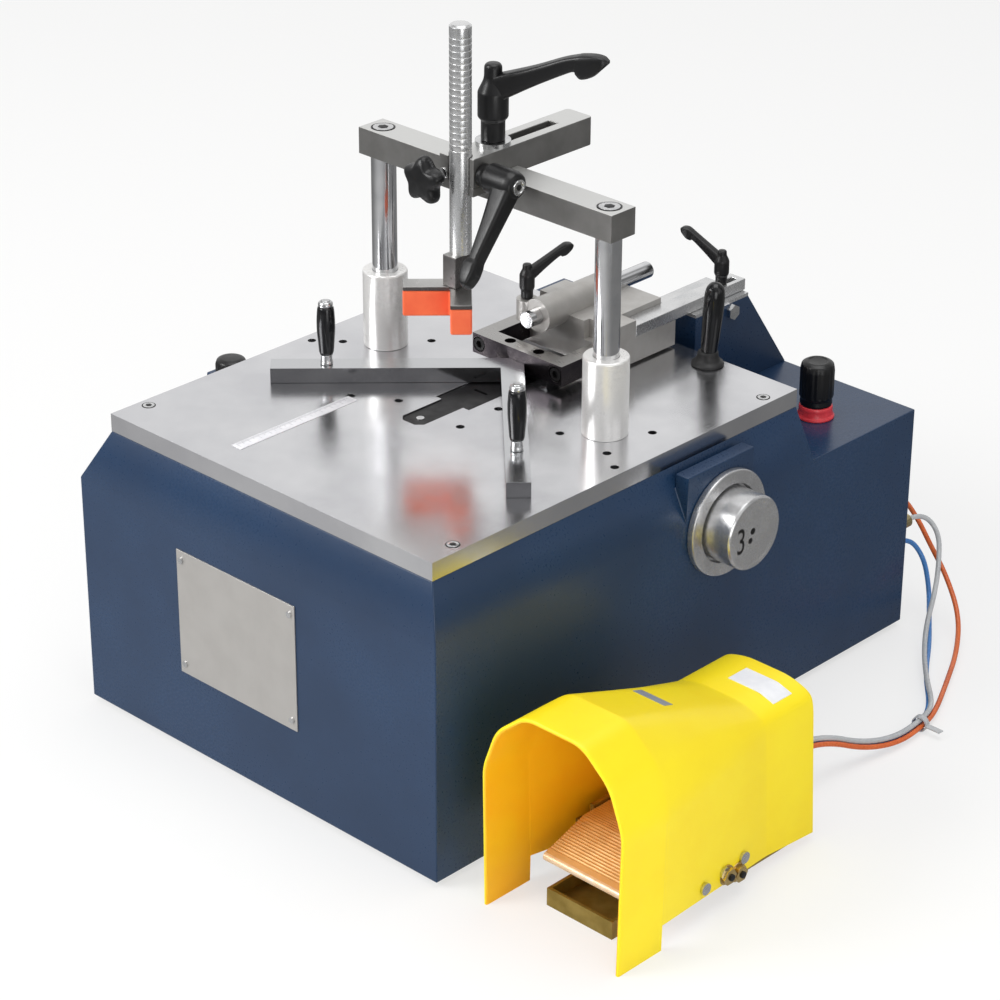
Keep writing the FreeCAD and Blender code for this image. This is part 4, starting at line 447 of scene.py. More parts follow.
# finishes; sizes of patterns are in millimetres of the real surface; "top" is a painted highlight: the
# lighter tone of faces that look up, for the light that falls on them from above; the sides keep darker tones
finishSettings = {
    # stoved powder coat on sheet steel: satin navy with a fine orange-peel skin
    "navyPowderCoat": {"tones": ("#203A5A", "#1B3351"), "patch": 110,
                       "metallic": 0.0, "roughness": (0.26, 0.36),
                       "grain": 1.8, "stretch": (1, 1, 1), "relief": 0.05},
    # surface-ground and polished plate: light grey, nearly a mirror, with a fine brushed grain
    "groundSteel": {"tones": ("#DCDCDE", "#CECED1"), "patch": 70, "metallic": 1.0, "roughness": (0.17, 0.26),
                    "grain": 0.5, "stretch": (1, 0.04, 1), "relief": 0.004},
    # fence bars: dark drawn sides and a lighter top, which is painted light reflected from above
    "fenceSteel": {"tones": ("#8E8E90", "#7E7E81"), "top": "#C9CACC", "patch": 30, "metallic": 1.0,
                   "roughness": (0.14, 0.26), "grain": 0.4, "stretch": (1, 1, 0.1), "relief": 0.006},
    # milled bar: satin, darker sides with mill marks and a lighter top, which is painted light from above
    "milledBar": {"tones": ("#8E8D8B", "#7C7B79"), "top": "#D2D2D0", "patch": 26, "metallic": 0.75,
                  "roughness": (0.3, 0.42), "grain": 0.5, "stretch": (0.06, 1, 1), "relief": 0.012},
    # small steel blocks: satin, a little brighter than the bar, with a lighter top, which is painted light
    # from above
    "blockSteel": {"tones": ("#767372", "#666362"), "top": "#C6C5C3", "patch": 16, "metallic": 1.0,
                   "roughness": (0.26, 0.38), "grain": 0.5, "stretch": (1, 1, 0.1), "relief": 0.01},
    # ground bar with a fine lengthwise grain: bright, frosted
    "groundBar": {"tones": ("#DEDEDE", "#CFD0D1"), "patch": 18, "metallic": 0.85, "roughness": (0.2, 0.32),
                  "grain": 0.4, "stretch": (1, 1, 0.2), "relief": 0.01},
    # milled steel left bare under the table
    "milledSteel": {"tones": ("#A2A29F", "#8B8B86"), "patch": 24, "metallic": 1.0, "roughness": (0.28, 0.42),
                    "grain": 0.6, "stretch": (0.08, 1, 1), "relief": 0.02},
    # hard-chromed round bar: bright, nearly a mirror, with faint grinding marks
    "hardChrome": {"tones": ("#E0E0E1", "#D2D3D5"), "patch": 20, "metallic": 1.0, "roughness": (0.1, 0.17),
                   "grain": 0.4, "stretch": (1, 1, 0.2), "relief": 0.004},
    # zinc-plated screws and rings
    "brightScrew": {"tones": ("#D8D8D8", "#C4C5C6"), "patch": 5, "metallic": 1.0, "roughness": (0.16, 0.28),
                    "grain": 0.3, "stretch": (1, 1, 1), "relief": 0.005},
    # turned aluminium: warm pale grey with rings along its length
    "turnedAluminium": {"tones": ("#F2F1EF", "#E9E8E6"), "patch": 30,
                        "metallic": 0.5, "roughness": (0.26, 0.34),
                        "grain": 0.35, "stretch": (0.3, 0.3, 8), "relief": 0.006},
    # bead-blasted casting: warm pale grey, even
    "castAluminium": {"tones": ("#C2C0BD", "#B4B1AD"), "patch": 20, "metallic": 0.7, "roughness": (0.36, 0.5),
                      "grain": 0.8, "stretch": (1, 1, 1), "relief": 0.03},
    # faced steel of the dial: satin with fine circular marks
    "turnedSteel": {"tones": ("#D6D6D7", "#C6C6C7"), "patch": 14, "metallic": 0.85, "roughness": (0.2, 0.34),
                    "grain": 0.35, "stretch": (6, 1, 1), "relief": 0.008},
    # block with a dark oxide skin and a lighter top, which is painted light from above
    "oxidedBlock": {"tones": ("#4C4749", "#39353A"), "top": "#A9A7A5", "patch": 14, "metallic": 1.0,
                    "roughness": (0.26, 0.4), "grain": 0.5, "stretch": (0.1, 1, 1), "relief": 0.012},
    # black oxide on dark screws and engraved marks; on hexagon sockets and pin holes, painted shade of the
    # hole
    "blackOxideAndHoleShade": {"tones": ("#1D1C1D", "#121213"), "patch": 6, "metallic": 0.3, "roughness": (0.4, 0.55),
                   "grain": 0.4, "stretch": (1, 1, 1), "relief": 0.01},
    # hot-blackened steel: dark grey-brown, oily satin
    "blackenedSteel": {"tones": ("#2A292A", "#1B1A1C"), "patch": 12,
                       "metallic": 0.6, "roughness": (0.3, 0.44),
                       "grain": 0.6, "stretch": (1, 1, 1), "relief": 0.02},
    # glass-filled nylon: black, softly glossy, finely textured
    "blackNylon": {"tones": ("#0D0D0F", "#08080A"), "patch": 9, "metallic": 0.0, "roughness": (0.3, 0.42),
                   "grain": 0.45, "stretch": (1, 1, 1), "relief": 0.03},
    # polished black plastic of the stop lever
    "blackGloss": {"tones": ("#121316", "#0C0D0F"), "patch": 12, "metallic": 0.0, "roughness": (0.1, 0.18),
                   "grain": 1.2, "stretch": (1, 1, 1), "relief": 0.006},
    # moulded rubber: matt black
    "mouldedRubber": {"tones": ("#1C1C1D", "#131314"), "patch": 10, "metallic": 0.0, "roughness": (0.42, 0.6),
                      "grain": 0.6, "stretch": (1, 1, 1), "relief": 0.03},
    # cast polyurethane: orange, softly glossy
    "castPolyurethane": {"tones": ("#FF7444", "#F8683C"), "patch": 14,
                         "metallic": 0.0, "roughness": (0.34, 0.48),
                         "grain": 1.2, "stretch": (1, 1, 1), "relief": 0.03},
    # moulded ABS: bright yellow with a soft gloss
    "yellowAbs": {"tones": ("#FFE712", "#FBDE0A"), "patch": 80, "metallic": 0.0, "roughness": (0.32, 0.44),
                  "grain": 1.1, "stretch": (1, 1, 1), "relief": 0.02},
    # the same plastic inside the guard, painted a deeper orange for the shade in there and the light bounced
    # between its walls
    "yellowInsidePaintedShade": {"tones": ("#FFCC14", "#FFBE0A"), "patch": 60, "metallic": 0.0, "roughness": (0.4, 0.55),
                     "grain": 1.1, "stretch": (1, 1, 1), "relief": 0.02},
    # ribbed die-cast plate with a yellow-chromate finish: pale copper
    "ribbedAlloy": {"tones": ("#E2B87C", "#D9AC6E"), "patch": 12, "metallic": 0.2, "roughness": (0.4, 0.55),
                    "grain": 0.5, "stretch": (0.1, 1, 1), "relief": 0.03},
    # its worn front edge: bare pale metal
    "paleAlloy": {"tones": ("#F3DEC2", "#E6C9A4"), "patch": 8, "metallic": 0.35, "roughness": (0.34, 0.46),
                  "grain": 0.5, "stretch": (1, 1, 1), "relief": 0.02},
    # pressed base of the pedal: yellow passivated, olive in the shade
    "passivatedSheet": {"tones": ("#A8904A", "#8F7936"), "patch": 14,
                        "metallic": 0.6, "roughness": (0.34, 0.48),
                        "grain": 0.6, "stretch": (1, 1, 1), "relief": 0.02},
    # brass nuts and washers
    "brassNut": {"tones": ("#D9BE82", "#C0A466"), "patch": 4, "metallic": 1.0, "roughness": (0.2, 0.34),
                 "grain": 0.3, "stretch": (1, 1, 1), "relief": 0.01},
    # nickel-plated brass fittings
    "platedBrass": {"tones": ("#C9B98D", "#B0A27C"), "patch": 6, "metallic": 1.0, "roughness": (0.2, 0.34),
                    "grain": 0.4, "stretch": (1, 1, 1), "relief": 0.01},
    # moulded nylon ring: saturated red
    "redNylon": {"tones": ("#F04650", "#E23A44"), "patch": 8, "metallic": 0.0, "roughness": (0.24, 0.36),
                 "grain": 0.6, "stretch": (1, 1, 1), "relief": 0.01},
    # enamelled rule: pale band and grey printed lines
    "whiteEnamel": {"tones": ("#EDEDF0", "#E2E2E6"), "patch": 9, "metallic": 0.15, "roughness": (0.3, 0.42),
                    "grain": 0.6, "stretch": (1, 1, 1), "relief": 0.01},
    "greyPrint": {"tones": ("#A3A3A8", "#95959A"), "patch": 5, "metallic": 0.0, "roughness": (0.4, 0.55),
                  "grain": 0.4, "stretch": (1, 1, 1), "relief": 0.005},
    # etched aluminium sheet: warm grey, fine vertical grain, faintly mottled
    "labelSheet": {"tones": ("#C8C5C1", "#C3C0BC"), "patch": 26, "metallic": 0.7, "roughness": (0.32, 0.42),
                   "grain": 0.35, "stretch": (1, 1, 0.05), "relief": 0.008},
    # printed vinyl stickers, left bare
    "greySticker": {"tones": ("#9EA3AE", "#8E939E"), "patch": 10, "metallic": 0.2, "roughness": (0.34, 0.46),
                    "grain": 0.5, "stretch": (1, 1, 1), "relief": 0.006},
    "whiteSticker": {"tones": ("#EFF0F3", "#E4E5EA"), "patch": 10, "metallic": 0.0, "roughness": (0.34, 0.46),
                     "grain": 0.5, "stretch": (1, 1, 1), "relief": 0.006},
    # extruded polyurethane air tubes
    "orangeTube": {"tones": ("#E2713A", "#D66633"), "patch": 20, "metallic": 0.0, "roughness": (0.22, 0.32),
                   "grain": 1.5, "stretch": (1, 1, 1), "relief": 0.005},
    "blueTube": {"tones": ("#4F8FD6", "#447FC4"), "patch": 20, "metallic": 0.0, "roughness": (0.22, 0.32),
                 "grain": 1.5, "stretch": (1, 1, 1), "relief": 0.005},
    "clearTube": {"tones": ("#C3C5C7", "#B4B7BA"), "patch": 20, "metallic": 0.0, "roughness": (0.2, 0.3),
                  "grain": 1.5, "stretch": (1, 1, 1), "relief": 0.005},
}


# a finish: two close tones in soft patches, roughness that varies with them, fine scratches and relief
def makeFinish(name, settings):
    material = bpy.data.materials.new(name)
    material.use_nodes = True
    tree = material.node_tree
    tree.nodes.clear()
    place = addNode(tree, "ShaderNodeTexCoord").outputs["Object"]
    patches = addNode(tree, "ShaderNodeTexNoise", {"Vector": place, "Detail": 4.0,
                                                   "Scale": 1 / (settings["patch"] * mm)})
    stretched = addNode(tree, "ShaderNodeMapping", {"Vector": place, "Scale": settings["stretch"]})
    grain = addNode(tree, "ShaderNodeTexNoise", {"Vector": stretched.outputs["Vector"], "Detail": 2.0,
                                                 "Scale": 1 / (settings["grain"] * mm)})
    tone = addNode(tree, "ShaderNodeValToRGB", {0: patches.outputs["Fac"]})
    for element, position, tint in zip(tone.color_ramp.elements, (0.35, 0.65), settings["tones"]):
        element.position = position
        element.color = colour(tint)
    skinColour = tone.outputs["Color"]
    # painted light: faces that look up get the lighter "top" tone, for the light that falls on them from
    # above
    if "top" in settings:
        normal = addNode(tree, "ShaderNodeNewGeometry").outputs["Normal"]
        facing = addNode(tree, "ShaderNodeSeparateXYZ", {0: normal})
        upward = addNode(tree, "ShaderNodeMapRange",
                         {"Value": facing.outputs["Z"], "From Min": 0.55, "From Max": 0.9})
        paintedTopLight = addNode(tree, "ShaderNodeMix", data_type="RGBA")
        tree.links.new(upward.outputs[0], paintedTopLight.inputs[0])
        tree.links.new(skinColour, paintedTopLight.inputs[6])
        paintedTopLight.inputs[7].default_value = colour(settings["top"])
        skinColour = paintedTopLight.outputs[2]
    worn = addNode(tree, "ShaderNodeMath", {0: patches.outputs["Fac"], 1: grain.outputs["Fac"]},
                   operation="MULTIPLY")
    low, high = settings["roughness"]
    rough = addNode(tree, "ShaderNodeMapRange",
                    {"Value": worn.outputs[0], "From Min": 0.15, "From Max": 0.35,
                     "To Min": low, "To Max": high})
    bump = addNode(tree, "ShaderNodeBump", {"Height": grain.outputs["Fac"], "Strength": 1.0,
                                            "Distance": settings["relief"] * mm})
    skin = addNode(tree, "ShaderNodeBsdfPrincipled",
                   {"Base Color": skinColour, "Metallic": settings["metallic"],
                    "Roughness": rough.outputs["Result"], "Normal": bump.outputs["Normal"]})
    addNode(tree, "ShaderNodeOutputMaterial", {"Surface": skin.outputs[0]})
    return material


finishes = {name: makeFinish(name, settings) for name, settings in finishSettings.items()}
print("finishes made:", len(finishes))


# lowest and highest corners of a CAD node in mm
def boxOf(node):
    return tuple(np.array(corner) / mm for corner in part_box(node))


# clamping levers: a hub on its stud, an arm that leaves it and ends in a hooked tip, and a push button
# or a retaining ring on top; stations are x along the arm, top, bottom and half width
smallHub = ((0.01, 0), (4.6, 0), (4.6, 6.4), (5.8, 8.4), (5.8, 19), (4.2, 22.4), (3.6, 23.6), (3.4, 27.4),
            (0.01, 27.8))
smallStations = ((0, 24, 13, 3.8), (4, 25.2, 14.8, 3.7), (14, 30.6, 22.6, 3.4), (25, 36.8, 30.2, 3.2),
                 (27.5, 38.2, 29.8, 3.4), (31, 39.6, 30.6, 3.6), (35, 39.2, 33.8, 3), (37, 37.6, 35.8, 1.4))
leverSettings = {
    "armLever": {
        "node": "arm_lever", "body": "arm_lever_body", "origin": (0, -16.5, 436), "axis": (0, 0, 1),
        "arm": (math.cos(math.radians(22)), math.sin(math.radians(22)), 0),
        "hub": ((0.01, 0), (8.8, 0), (8.8, 15), (11.2, 17.4), (11.2, 36), (7.4, 44), (6.6, 47), (6.4, 55),
                (5, 57), (0.01, 57.2)),
        "stations": ((0, 48.5, 27, 7), (8, 51, 31, 6.6), (31, 59, 44.2, 5.9), (52, 67.6, 55.2, 5.5),
                     (61.5, 70.6, 59.4, 5.5), (63.6, 71.2, 57.2, 5.7), (67.5, 72.2, 54.6, 5.9),
                     (76, 73, 57.6, 5.6), (82.5, 72.2, 63.6, 4.8), (86.5, 70, 67.6, 2.4)),
        "ring": None,
    },
    "rodLever": {
        "node": "rod_lever", "body": "rod_lever_body", "origin": (12.7, -40, 418.7), "axis": (1, 0, 0),
        "arm": (0, -48.5, -62.7),
        "hub": ((0.01, 0), (8.6, 0), (8.8, 5), (11, 8.5), (11, 29), (9.4, 33.6), (7, 34.6), (0.01, 34.6)),
        "stations": ((0, 33.5, 15, 8.4), (9, 34, 17, 8), (30, 33.6, 21, 7), (56, 33, 24.5, 6.2),
                     (60, 33.4, 24.4, 6.3), (63, 34, 22.6, 6.8), (70, 34.6, 23.2, 6.8), (77, 33.4, 26, 5.6),
                     (80, 31.4, 29, 3)),
        "ring": (5.8, 34.4, 36.2),
    },
    "sleeveLever": {
        "node": "sleeve_lever", "body": "sleeve_lever_body", "origin": (-20, 41.5, 289.2), "axis": (0, 0, 1),
        "arm": (math.cos(math.radians(66)), math.sin(math.radians(66)), 0),
        "hub": smallHub, "stations": smallStations, "ring": None,
    },
    "railLever": {
        "node": "rail_lever", "body": "rail_lever_body", "origin": (43, 192.5, 273.7), "axis": (0, 0, 1),
        "arm": (math.cos(math.radians(190)), math.sin(math.radians(190)), 0),
        "hub": smallHub, "stations": smallStations, "ring": None,
    },
}


studShare = 0.55  # of the hub's waist


def makeLever(name, lever):
    where = {"origin": lever["origin"], "xAxis": lever["arm"], "zAxis": lever["axis"]}
    shells = [makeShell(placed(turned(lever["hub"], 1.2, 56), **where), 0),
              makeShell(placed(swept(lever["stations"], 5.0, 90, 40), **where), 0)]
    low = (np.asarray(lever["origin"]) - np.array(boxOf(lever["node"])[0])) @ np.asarray(lever["axis"])
    thick = lever["hub"][2][0] * studShare
    stud = ((0.01, -low + 0.2), (thick, -low + 0.2), (thick, 0.5), (0.01, 0.5))
    shells.append(makeShell(placed(turned(stud, 0.3, 32), **where), 1))
    if lever["ring"]:
        radius, foot, top = lever["ring"]
        ring = ((0.01, foot), (radius, foot), (radius, top), (radius - 1.5, top), (radius - 1.9, top - 0.7),
                (0.01, top - 0.7))
        shells.append(makeShell(placed(turned(ring, 0.25, 40), **where), 1))
        # the hexagon socket is a dark plate on the ring: painted shade of the socket
        socket = plate(circle(radius * 0.42, 6), top - 0.8, top - 0.5, 0.05)
        shells.append(makeShell(placed(socket, **where), 2))
    return makePiece(name, shells, lever["body"], ("blackNylon", "brightScrew", "blackOxideAndHoleShade"), lever["node"])


for leverName, lever in leverSettings.items():
    makeLever(leverName, lever)

# star knob of the rod clamp: a domed disc whose edge swells into lobes, on a steel screw; its reach is
# from its face to the clamp head
starSettings = {"axis": (-16.7, 415), "reach": 30, "lobes": 5, "depth": 0.16,
                "knob": ((0.01, 6.5), (6, 6.5), (6.8, 10), (12.5, 13.4), (16, 15.4), (16.6, 19), (15.8, 23.6),
                         (12, 26.2), (0.01, 27)),
                "screw": 4}


def makeStarKnob(settings):
    low, high = boxOf("star_knob")
    (axisX, axisZ), foot = settings["axis"], low[1] + settings["reach"]

    # the radius is scaled by 1 + depth x share x cosine of the lobes' angle, where the share grows outwards
    def lobed(radius, height, angle):
        share = np.clip((radius - 8) / 7, 0, 1)
        return radius * (1 + settings["depth"] * share * (np.cos(settings["lobes"] * angle) - 0.35)), height

    where = {"origin": (axisX, foot, axisZ), "xAxis": (0, 0, 1), "zAxis": (0, -1, 0)}
    knob = turned(settings["knob"], 2.0, 120, lobed)
    radius, deep = settings["screw"], foot - high[1] + 0.2
    screw = turned(((0.01, deep), (radius, deep), (radius, 1), (0.01, 1)), 0.4, 32)
    makePiece("starKnob", [makeShell(placed(knob, **where), 0), makeShell(placed(screw, **where), 1)],
              "star_knob_body", ("blackNylon", "brightScrew"), "star_knob")


makeStarKnob(starSettings)

# grips that lock the fences: black handle with a swelling, steel foot, steel ring and steel button on top
gripSettings = {
    "steel": ((0.01, -3.8), (3, -3.8), (3, 0), (4.8, 0.1), (4.8, 2), (4.3, 2.8), (4.3, 7.4), (5.2, 8.2),
              (0.01, 8.3)),
    "handle": ((0.01, 8.2), (5.4, 8.2), (5.7, 12), (6.9, 27), (6.9, 36), (6.3, 44), (5.7, 46.4),
               (0.01, 46.6)),
    "ring": ((0.01, 46.5), (5.5, 46.5), (5.5, 48.6), (4.6, 50), (3.6, 50.2), (3.4, 49.4), (0.01, 49.4)),
    "button": ((0.01, 49.3), (3.2, 49.3), (3, 50.6), (1.8, 51), (0.01, 51.1)),
    "height": 51,
}


def makeGrip(name, node, body, settings):
    low, high = boxOf(node)
    middle = (low + high) / 2
    where = {"origin": (middle[0], middle[1], high[2] - settings["height"])}
    shells = [makeShell(placed(turned(settings["steel"], 0.4), **where), 1),
              makeShell(placed(turned(settings["handle"], 2.5), **where), 0),
              makeShell(placed(turned(settings["ring"], 0.5), **where), 1),
              makeShell(placed(turned(settings["button"], 0.4), **where), 1)]
    makePiece(name, shells, body, ("blackGloss", "brightScrew"), node)


makeGrip("fenceGripLeft", "fence_grip_left", "grip_left", gripSettings)
makeGrip("fenceGripRight", "fence_grip_right", "grip_right", gripSettings)

# tall stop lever: a glossy black capsule, thinner at its foot, in a flared rubber boot
stopSettings = {
    "lever": ((0.01, 2), (6, 2), (6.3, 12), (7, 24), (7.9, 44), (7.8, 56), (6.7, 62.6), (3.8, 66),
              (0.01, 67)),
    "height": 67, "lean": (0.045, 0.043, 1),
    "boot": ((0.01, 0.02), (12.4, 0.02), (12.5, 1.6), (11.6, 2.6), (9.4, 4.2), (8.2, 7), (7.8, 10.4),
             (6.9, 11.5), (0.01, 11.5)),
}


def makeStopLever(settings):
    low, high = boxOf("stop_lever")
    middle = (low + high) / 2
    where = {"origin": (middle[0], middle[1], high[2] - settings["height"])}
    leaning = placed(turned(settings["lever"], 2.5), zAxis=settings["lean"], **where)
    makePiece("stopLever", [makeShell(leaning)], "stop_lever_body", ("blackGloss",), "stop_lever")
    makePiece("leverBoot", [makeShell(placed(turned(settings["boot"], 1.0), **where))], "machine",
              ("mouldedRubber",), "lever_boot")


makeStopLever(stopSettings)

# pressure regulator: black knob with shallow flutes and a dished top, in a red collar that flares at its foot
regulatorSettings = {
    "knob": ((0.01, 0), (12.2, 0), (12.5, 1), (12.1, 5), (13.3, 7.4), (13.3, 29), (12.3, 33.4), (9.4, 35.2),
             (7.8, 35.5), (7, 34.7), (0.01, 34.4)),
    "flutes": 18, "depth": 0.4, "fluteFrom": 7.5, "fluteTo": 31,
    "collar": ((0.01, 0.02), (14.6, 0.02), (14.6, 1.6), (13.4, 3), (12.9, 6.5), (13.1, 8.2), (12.6, 10.4),
               (0.01, 10.5)),
}
sideKnobSettings = {
    "knob": ((0.01, 0), (11.2, 0), (12, 1.2), (12, 8), (10.8, 11.4), (7.6, 12.8), (0.01, 13)),
    "flutes": 20, "depth": 0.35, "fluteFrom": 1, "fluteTo": 8.5,
}


# the radius loses depth x (1 + cosine of the flutes' angle) / 2 between the two heights
def makeFlutes(settings):
    def fluted(radius, height, angle):
        share = (height > settings["fluteFrom"]) & (height < settings["fluteTo"]) & (radius > 10)
        return radius - settings["depth"] * share * (1 + np.cos(settings["flutes"] * angle)) / 2, height
    return fluted


def makeRegulator(settings, sideSettings):
    low, high = boxOf("regulator_knob")
    middle = (low + high) / 2
    knob = turned(settings["knob"], 0.9, 144, makeFlutes(settings))
    makePiece("regulatorKnob", [makeShell(placed(knob, (middle[0], middle[1], low[2])))], "regulator",
              ("blackNylon",), "regulator_knob")
    low, high = boxOf("regulator_collar")
    makePiece("regulatorCollar", [makeShell(placed(turned(settings["collar"], 0.7, 64),
                                                   (middle[0], middle[1], low[2])))],
              "machine", ("redNylon",), "regulator_collar")
    low, high = boxOf("side_knob")
    middle = (low + high) / 2
    knob = turned(sideSettings["knob"], 0.9, 160, makeFlutes(sideSettings))
    makePiece("sideKnob", [makeShell(placed(knob, (middle[0], middle[1], low[2])))], "side_valve",
              ("blackNylon",), "side_knob")


makeRegulator(regulatorSettings, sideKnobSettings)

# driver depth dial: a flange with a broken edge, sunk round a knob whose face carries a number and two
# pin holes, which are dark discs of painted shade
dialSettings = {
    "flange": ((0.01, 0), (40.2, 0), (41, 0.8), (41, 5.2), (40.2, 6), (30.8, 6), (30.4, 5.6), (30.4, 1),
               (0.01, 1)),
    "knob": ((0.01, 2), (27.6, 2), (28.5, 3), (28.5, 28), (27, 29.5), (24.2, 29.5), (23.6, 29.2),
             (0.01, 29.2)),
    "face": 29.24, "pins": ((-1.9, 2.6, 2.6), (-4.3, -4.4, 2.3)),
    "number": "3", "numberSize": 29, "numberPlace": (-20, -11), "numberWidth": 0.72,
}


def makeDial(settings):
    low, high = boxOf("dial_flange")
    middle = (low + high) / 2
    where = {"origin": (low[0], middle[1], middle[2]), "xAxis": (0, 1, 0), "zAxis": (1, 0, 0)}
    makePiece("dialFlange", [makeShell(placed(turned(settings["flange"], 0.5, 96), **where))], "machine",
              ("turnedSteel",), "dial_flange")
    shells = [makeShell(placed(turned(settings["knob"], 0.6, 96), **where), 0)]
    for y, z, radius in settings["pins"]:
        # each pin hole is a dark disc on the face: painted shade of the hole
        hole = plate(circle(radius, 24, (y, z)), 29.1, 29.26, 0.02)
        shells.append(makeShell(placed(hole, **where), 1))
    makePiece("dialKnob", shells, "dial", ("turnedSteel", "blackOxideAndHoleShade"), "dial_knob")
    words = bpy.data.curves.new("dialNumber", "FONT")
    words.body = settings["number"]
    words.size = settings["numberSize"]
    words.extrude = 0.04
    flat = bpy.data.objects.new("dialNumberFlat", words)
    scene.collection.objects.link(flat)
    mesh = bpy.data.meshes.new_from_object(flat.evaluated_get(bpy.context.evaluated_depsgraph_get()))
    bpy.data.objects.remove(flat)
    corners = np.empty(len(mesh.vertices) * 3)
    mesh.vertices.foreach_get("co", corners)
    corners = corners.reshape(-1, 3) * (settings["numberWidth"], 1, 1)
    corners += (*settings["numberPlace"], settings["face"])
    mesh.vertices.foreach_set("co", placed(corners, **where).ravel())
    mesh.materials.clear()
    mesh.materials.append(finishes["blackOxideAndHoleShade"])
    number = bpy.data.objects.new("dialNumber", mesh)
    scene.collection.objects.link(number)
    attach(number, "dial")


makeDial(dialSettings)
print("levers, knobs and dial made")

# pressure rod: bright bar with a chamfered end and fine turned rings along its upper half
rodSettings = {"radius": 8.0, "rings": 19, "first": 438.0, "pitch": 4.6, "depth": 0.3, "width": 1.0,
               "chamfer": 1.6}


def makePressureRod(settings):
    low, high = boxOf("clamp_rod")
    middle = (low + high) / 2
    radius, half = settings["radius"], settings["width"] / 2
    heights = settings["first"] + settings["pitch"] * np.arange(settings["rings"])
    ring = np.array(((radius, -half), (radius - settings["depth"], -half / 2),
                     (radius - settings["depth"], half / 2), (radius, half)))
    grooves = np.tile(ring, (len(heights), 1))
    grooves[:, 1] += np.repeat(heights, len(ring))
    grooves = grooves[grooves[:, 1] < high[2] - 4]
    ends = ((0.01, low[2]), (radius, low[2]))
    tops = ((radius, high[2] - settings["chamfer"]), (radius - settings["chamfer"], high[2]), (0.01, high[2]))
    profile = np.vstack((ends, grooves, tops))
    makePiece("pressureRod", [makeShell(placed(turned(profile, 0.12, 64), (middle[0], middle[1], 0)))],
              "pressure_rod", ("groundBar",), "clamp_rod")


makePressureRod(rodSettings)

# foot pedal's guard: one moulded wall from the left foot over the crown to the right foot
guardSettings = {
    "front": {"foot": 62, "hip": 64, "hipZ": 109, "shoulder": 52, "shoulderZ": 142, "crown": 26,
              "top": 164},
    "rear": {"foot": 48, "hip": 42.5, "hipZ": 106, "shoulder": 39.5, "shoulderZ": 116, "crown": 20,
             "top": 122},
    "wall": 3.0, "bendFront": 44.0, "bendRear": 169.0, "soft": 1.2, "skirt": 43.0, "liftFront": 20.0,
    "liftRear": 5.0, "corner": (8, 9, 9), "rim": 1.2,
}


# outline of the guard at one place: a mix of the front and rear outlines by a share, inside the wall
# by an inset, with its corners rounded and its two feet at a height
def guardOutline(share, inset, footZ, settings):
    size = {key: settings["front"][key] + (settings["rear"][key] - settings["front"][key]) * share
            for key in settings["front"]}
    half = ((size["foot"] - inset, footZ), (size["hip"] - inset, size["hipZ"]),
            (size["shoulder"] - inset, size["shoulderZ"] - inset / 2),
            (size["crown"] - inset / 2, size["top"] - inset))
    outline = [(-across, up) for across, up in half] + [(across, up) for across, up in reversed(half)]
    return roundCorners(outline, np.array(settings["corner"])[[0, 1, 2, 2, 1, 0]][:, None], 7)


def makeGuard(settings):
    low, high = boxOf("pedal_guard")
    x = (low[0] + high[0]) / 2
    length = high[1] - low[1]
    rim, wall, skirt = settings["rim"], settings["wall"], settings["skirt"]
    turn = np.linspace(0, np.pi / 2, 4)
    edge = rim * (1 - np.cos(turn))
    folds = np.concatenate([bend + settings["soft"] * np.linspace(-1, 1, 5)
                            for bend in (settings["bendFront"], settings["bendRear"])])
    between = np.sort(np.concatenate((np.linspace(4, skirt - 3, 6), (skirt, skirt + 0.4), folds + 1.5,
                                      np.linspace(skirt + 6, length - 4, 40))))
    along = np.concatenate((edge, between, (length - edge)[::-1]))
    rounding = rim * (1 - np.sin(turn))
    drawn = np.concatenate((rounding, np.zeros(len(between)), rounding[::-1]))
    ruled = np.interp(along, (settings["bendFront"], settings["bendRear"]), (0, 1))
    softer = np.interp(along + settings["soft"], (settings["bendFront"], settings["bendRear"]), (0, 1))
    softer += np.interp(along - settings["soft"], (settings["bendFront"], settings["bendRear"]), (0, 1))
    share = (ruled + softer) / 3
    lift = np.interp(along, (skirt, length), (settings["liftFront"], settings["liftRear"]))
    footZ = np.where(along <= skirt, 0.0, lift)
    rows = []
    for y, s, z, inset in zip(along, share, footZ, drawn):
        outer = guardOutline(s, inset, z, settings)
        inner = guardOutline(s, wall - inset, z, settings)[::-1]
        loop = np.vstack((outer, inner))
        rows.append(np.stack((x + loop[:, 0], np.full(len(loop), low[1] + y), loop[:, 1]), -1))
    grid = np.array(rows)
    half = grid.shape[1] // 2
    # the inner faces take the inside finish: painted orange shade and bounced light
    finish = np.where(np.arange(grid.shape[1]) < half - 1, 0, 1)
    finish[-1] = 0
    makePiece("pedalGuard", [makeShell(placed(grid), finish, "strip")], "machine",
              ("yellowAbs", "yellowInsidePaintedShade"), "pedal_guard", 28)
    return x, low[1]


guardMiddle, guardFront = makeGuard(guardSettings)

# two bare stickers on the guard: a grey one on the slope and a white one on the flat top
stickerSettings = {
    "greySticker": {"x": (-17, 11), "y": (98, 107), "finish": "greySticker"},
    "whiteSticker": {"x": (-8, 33), "y": (188, 208), "finish": "whiteSticker"},
}


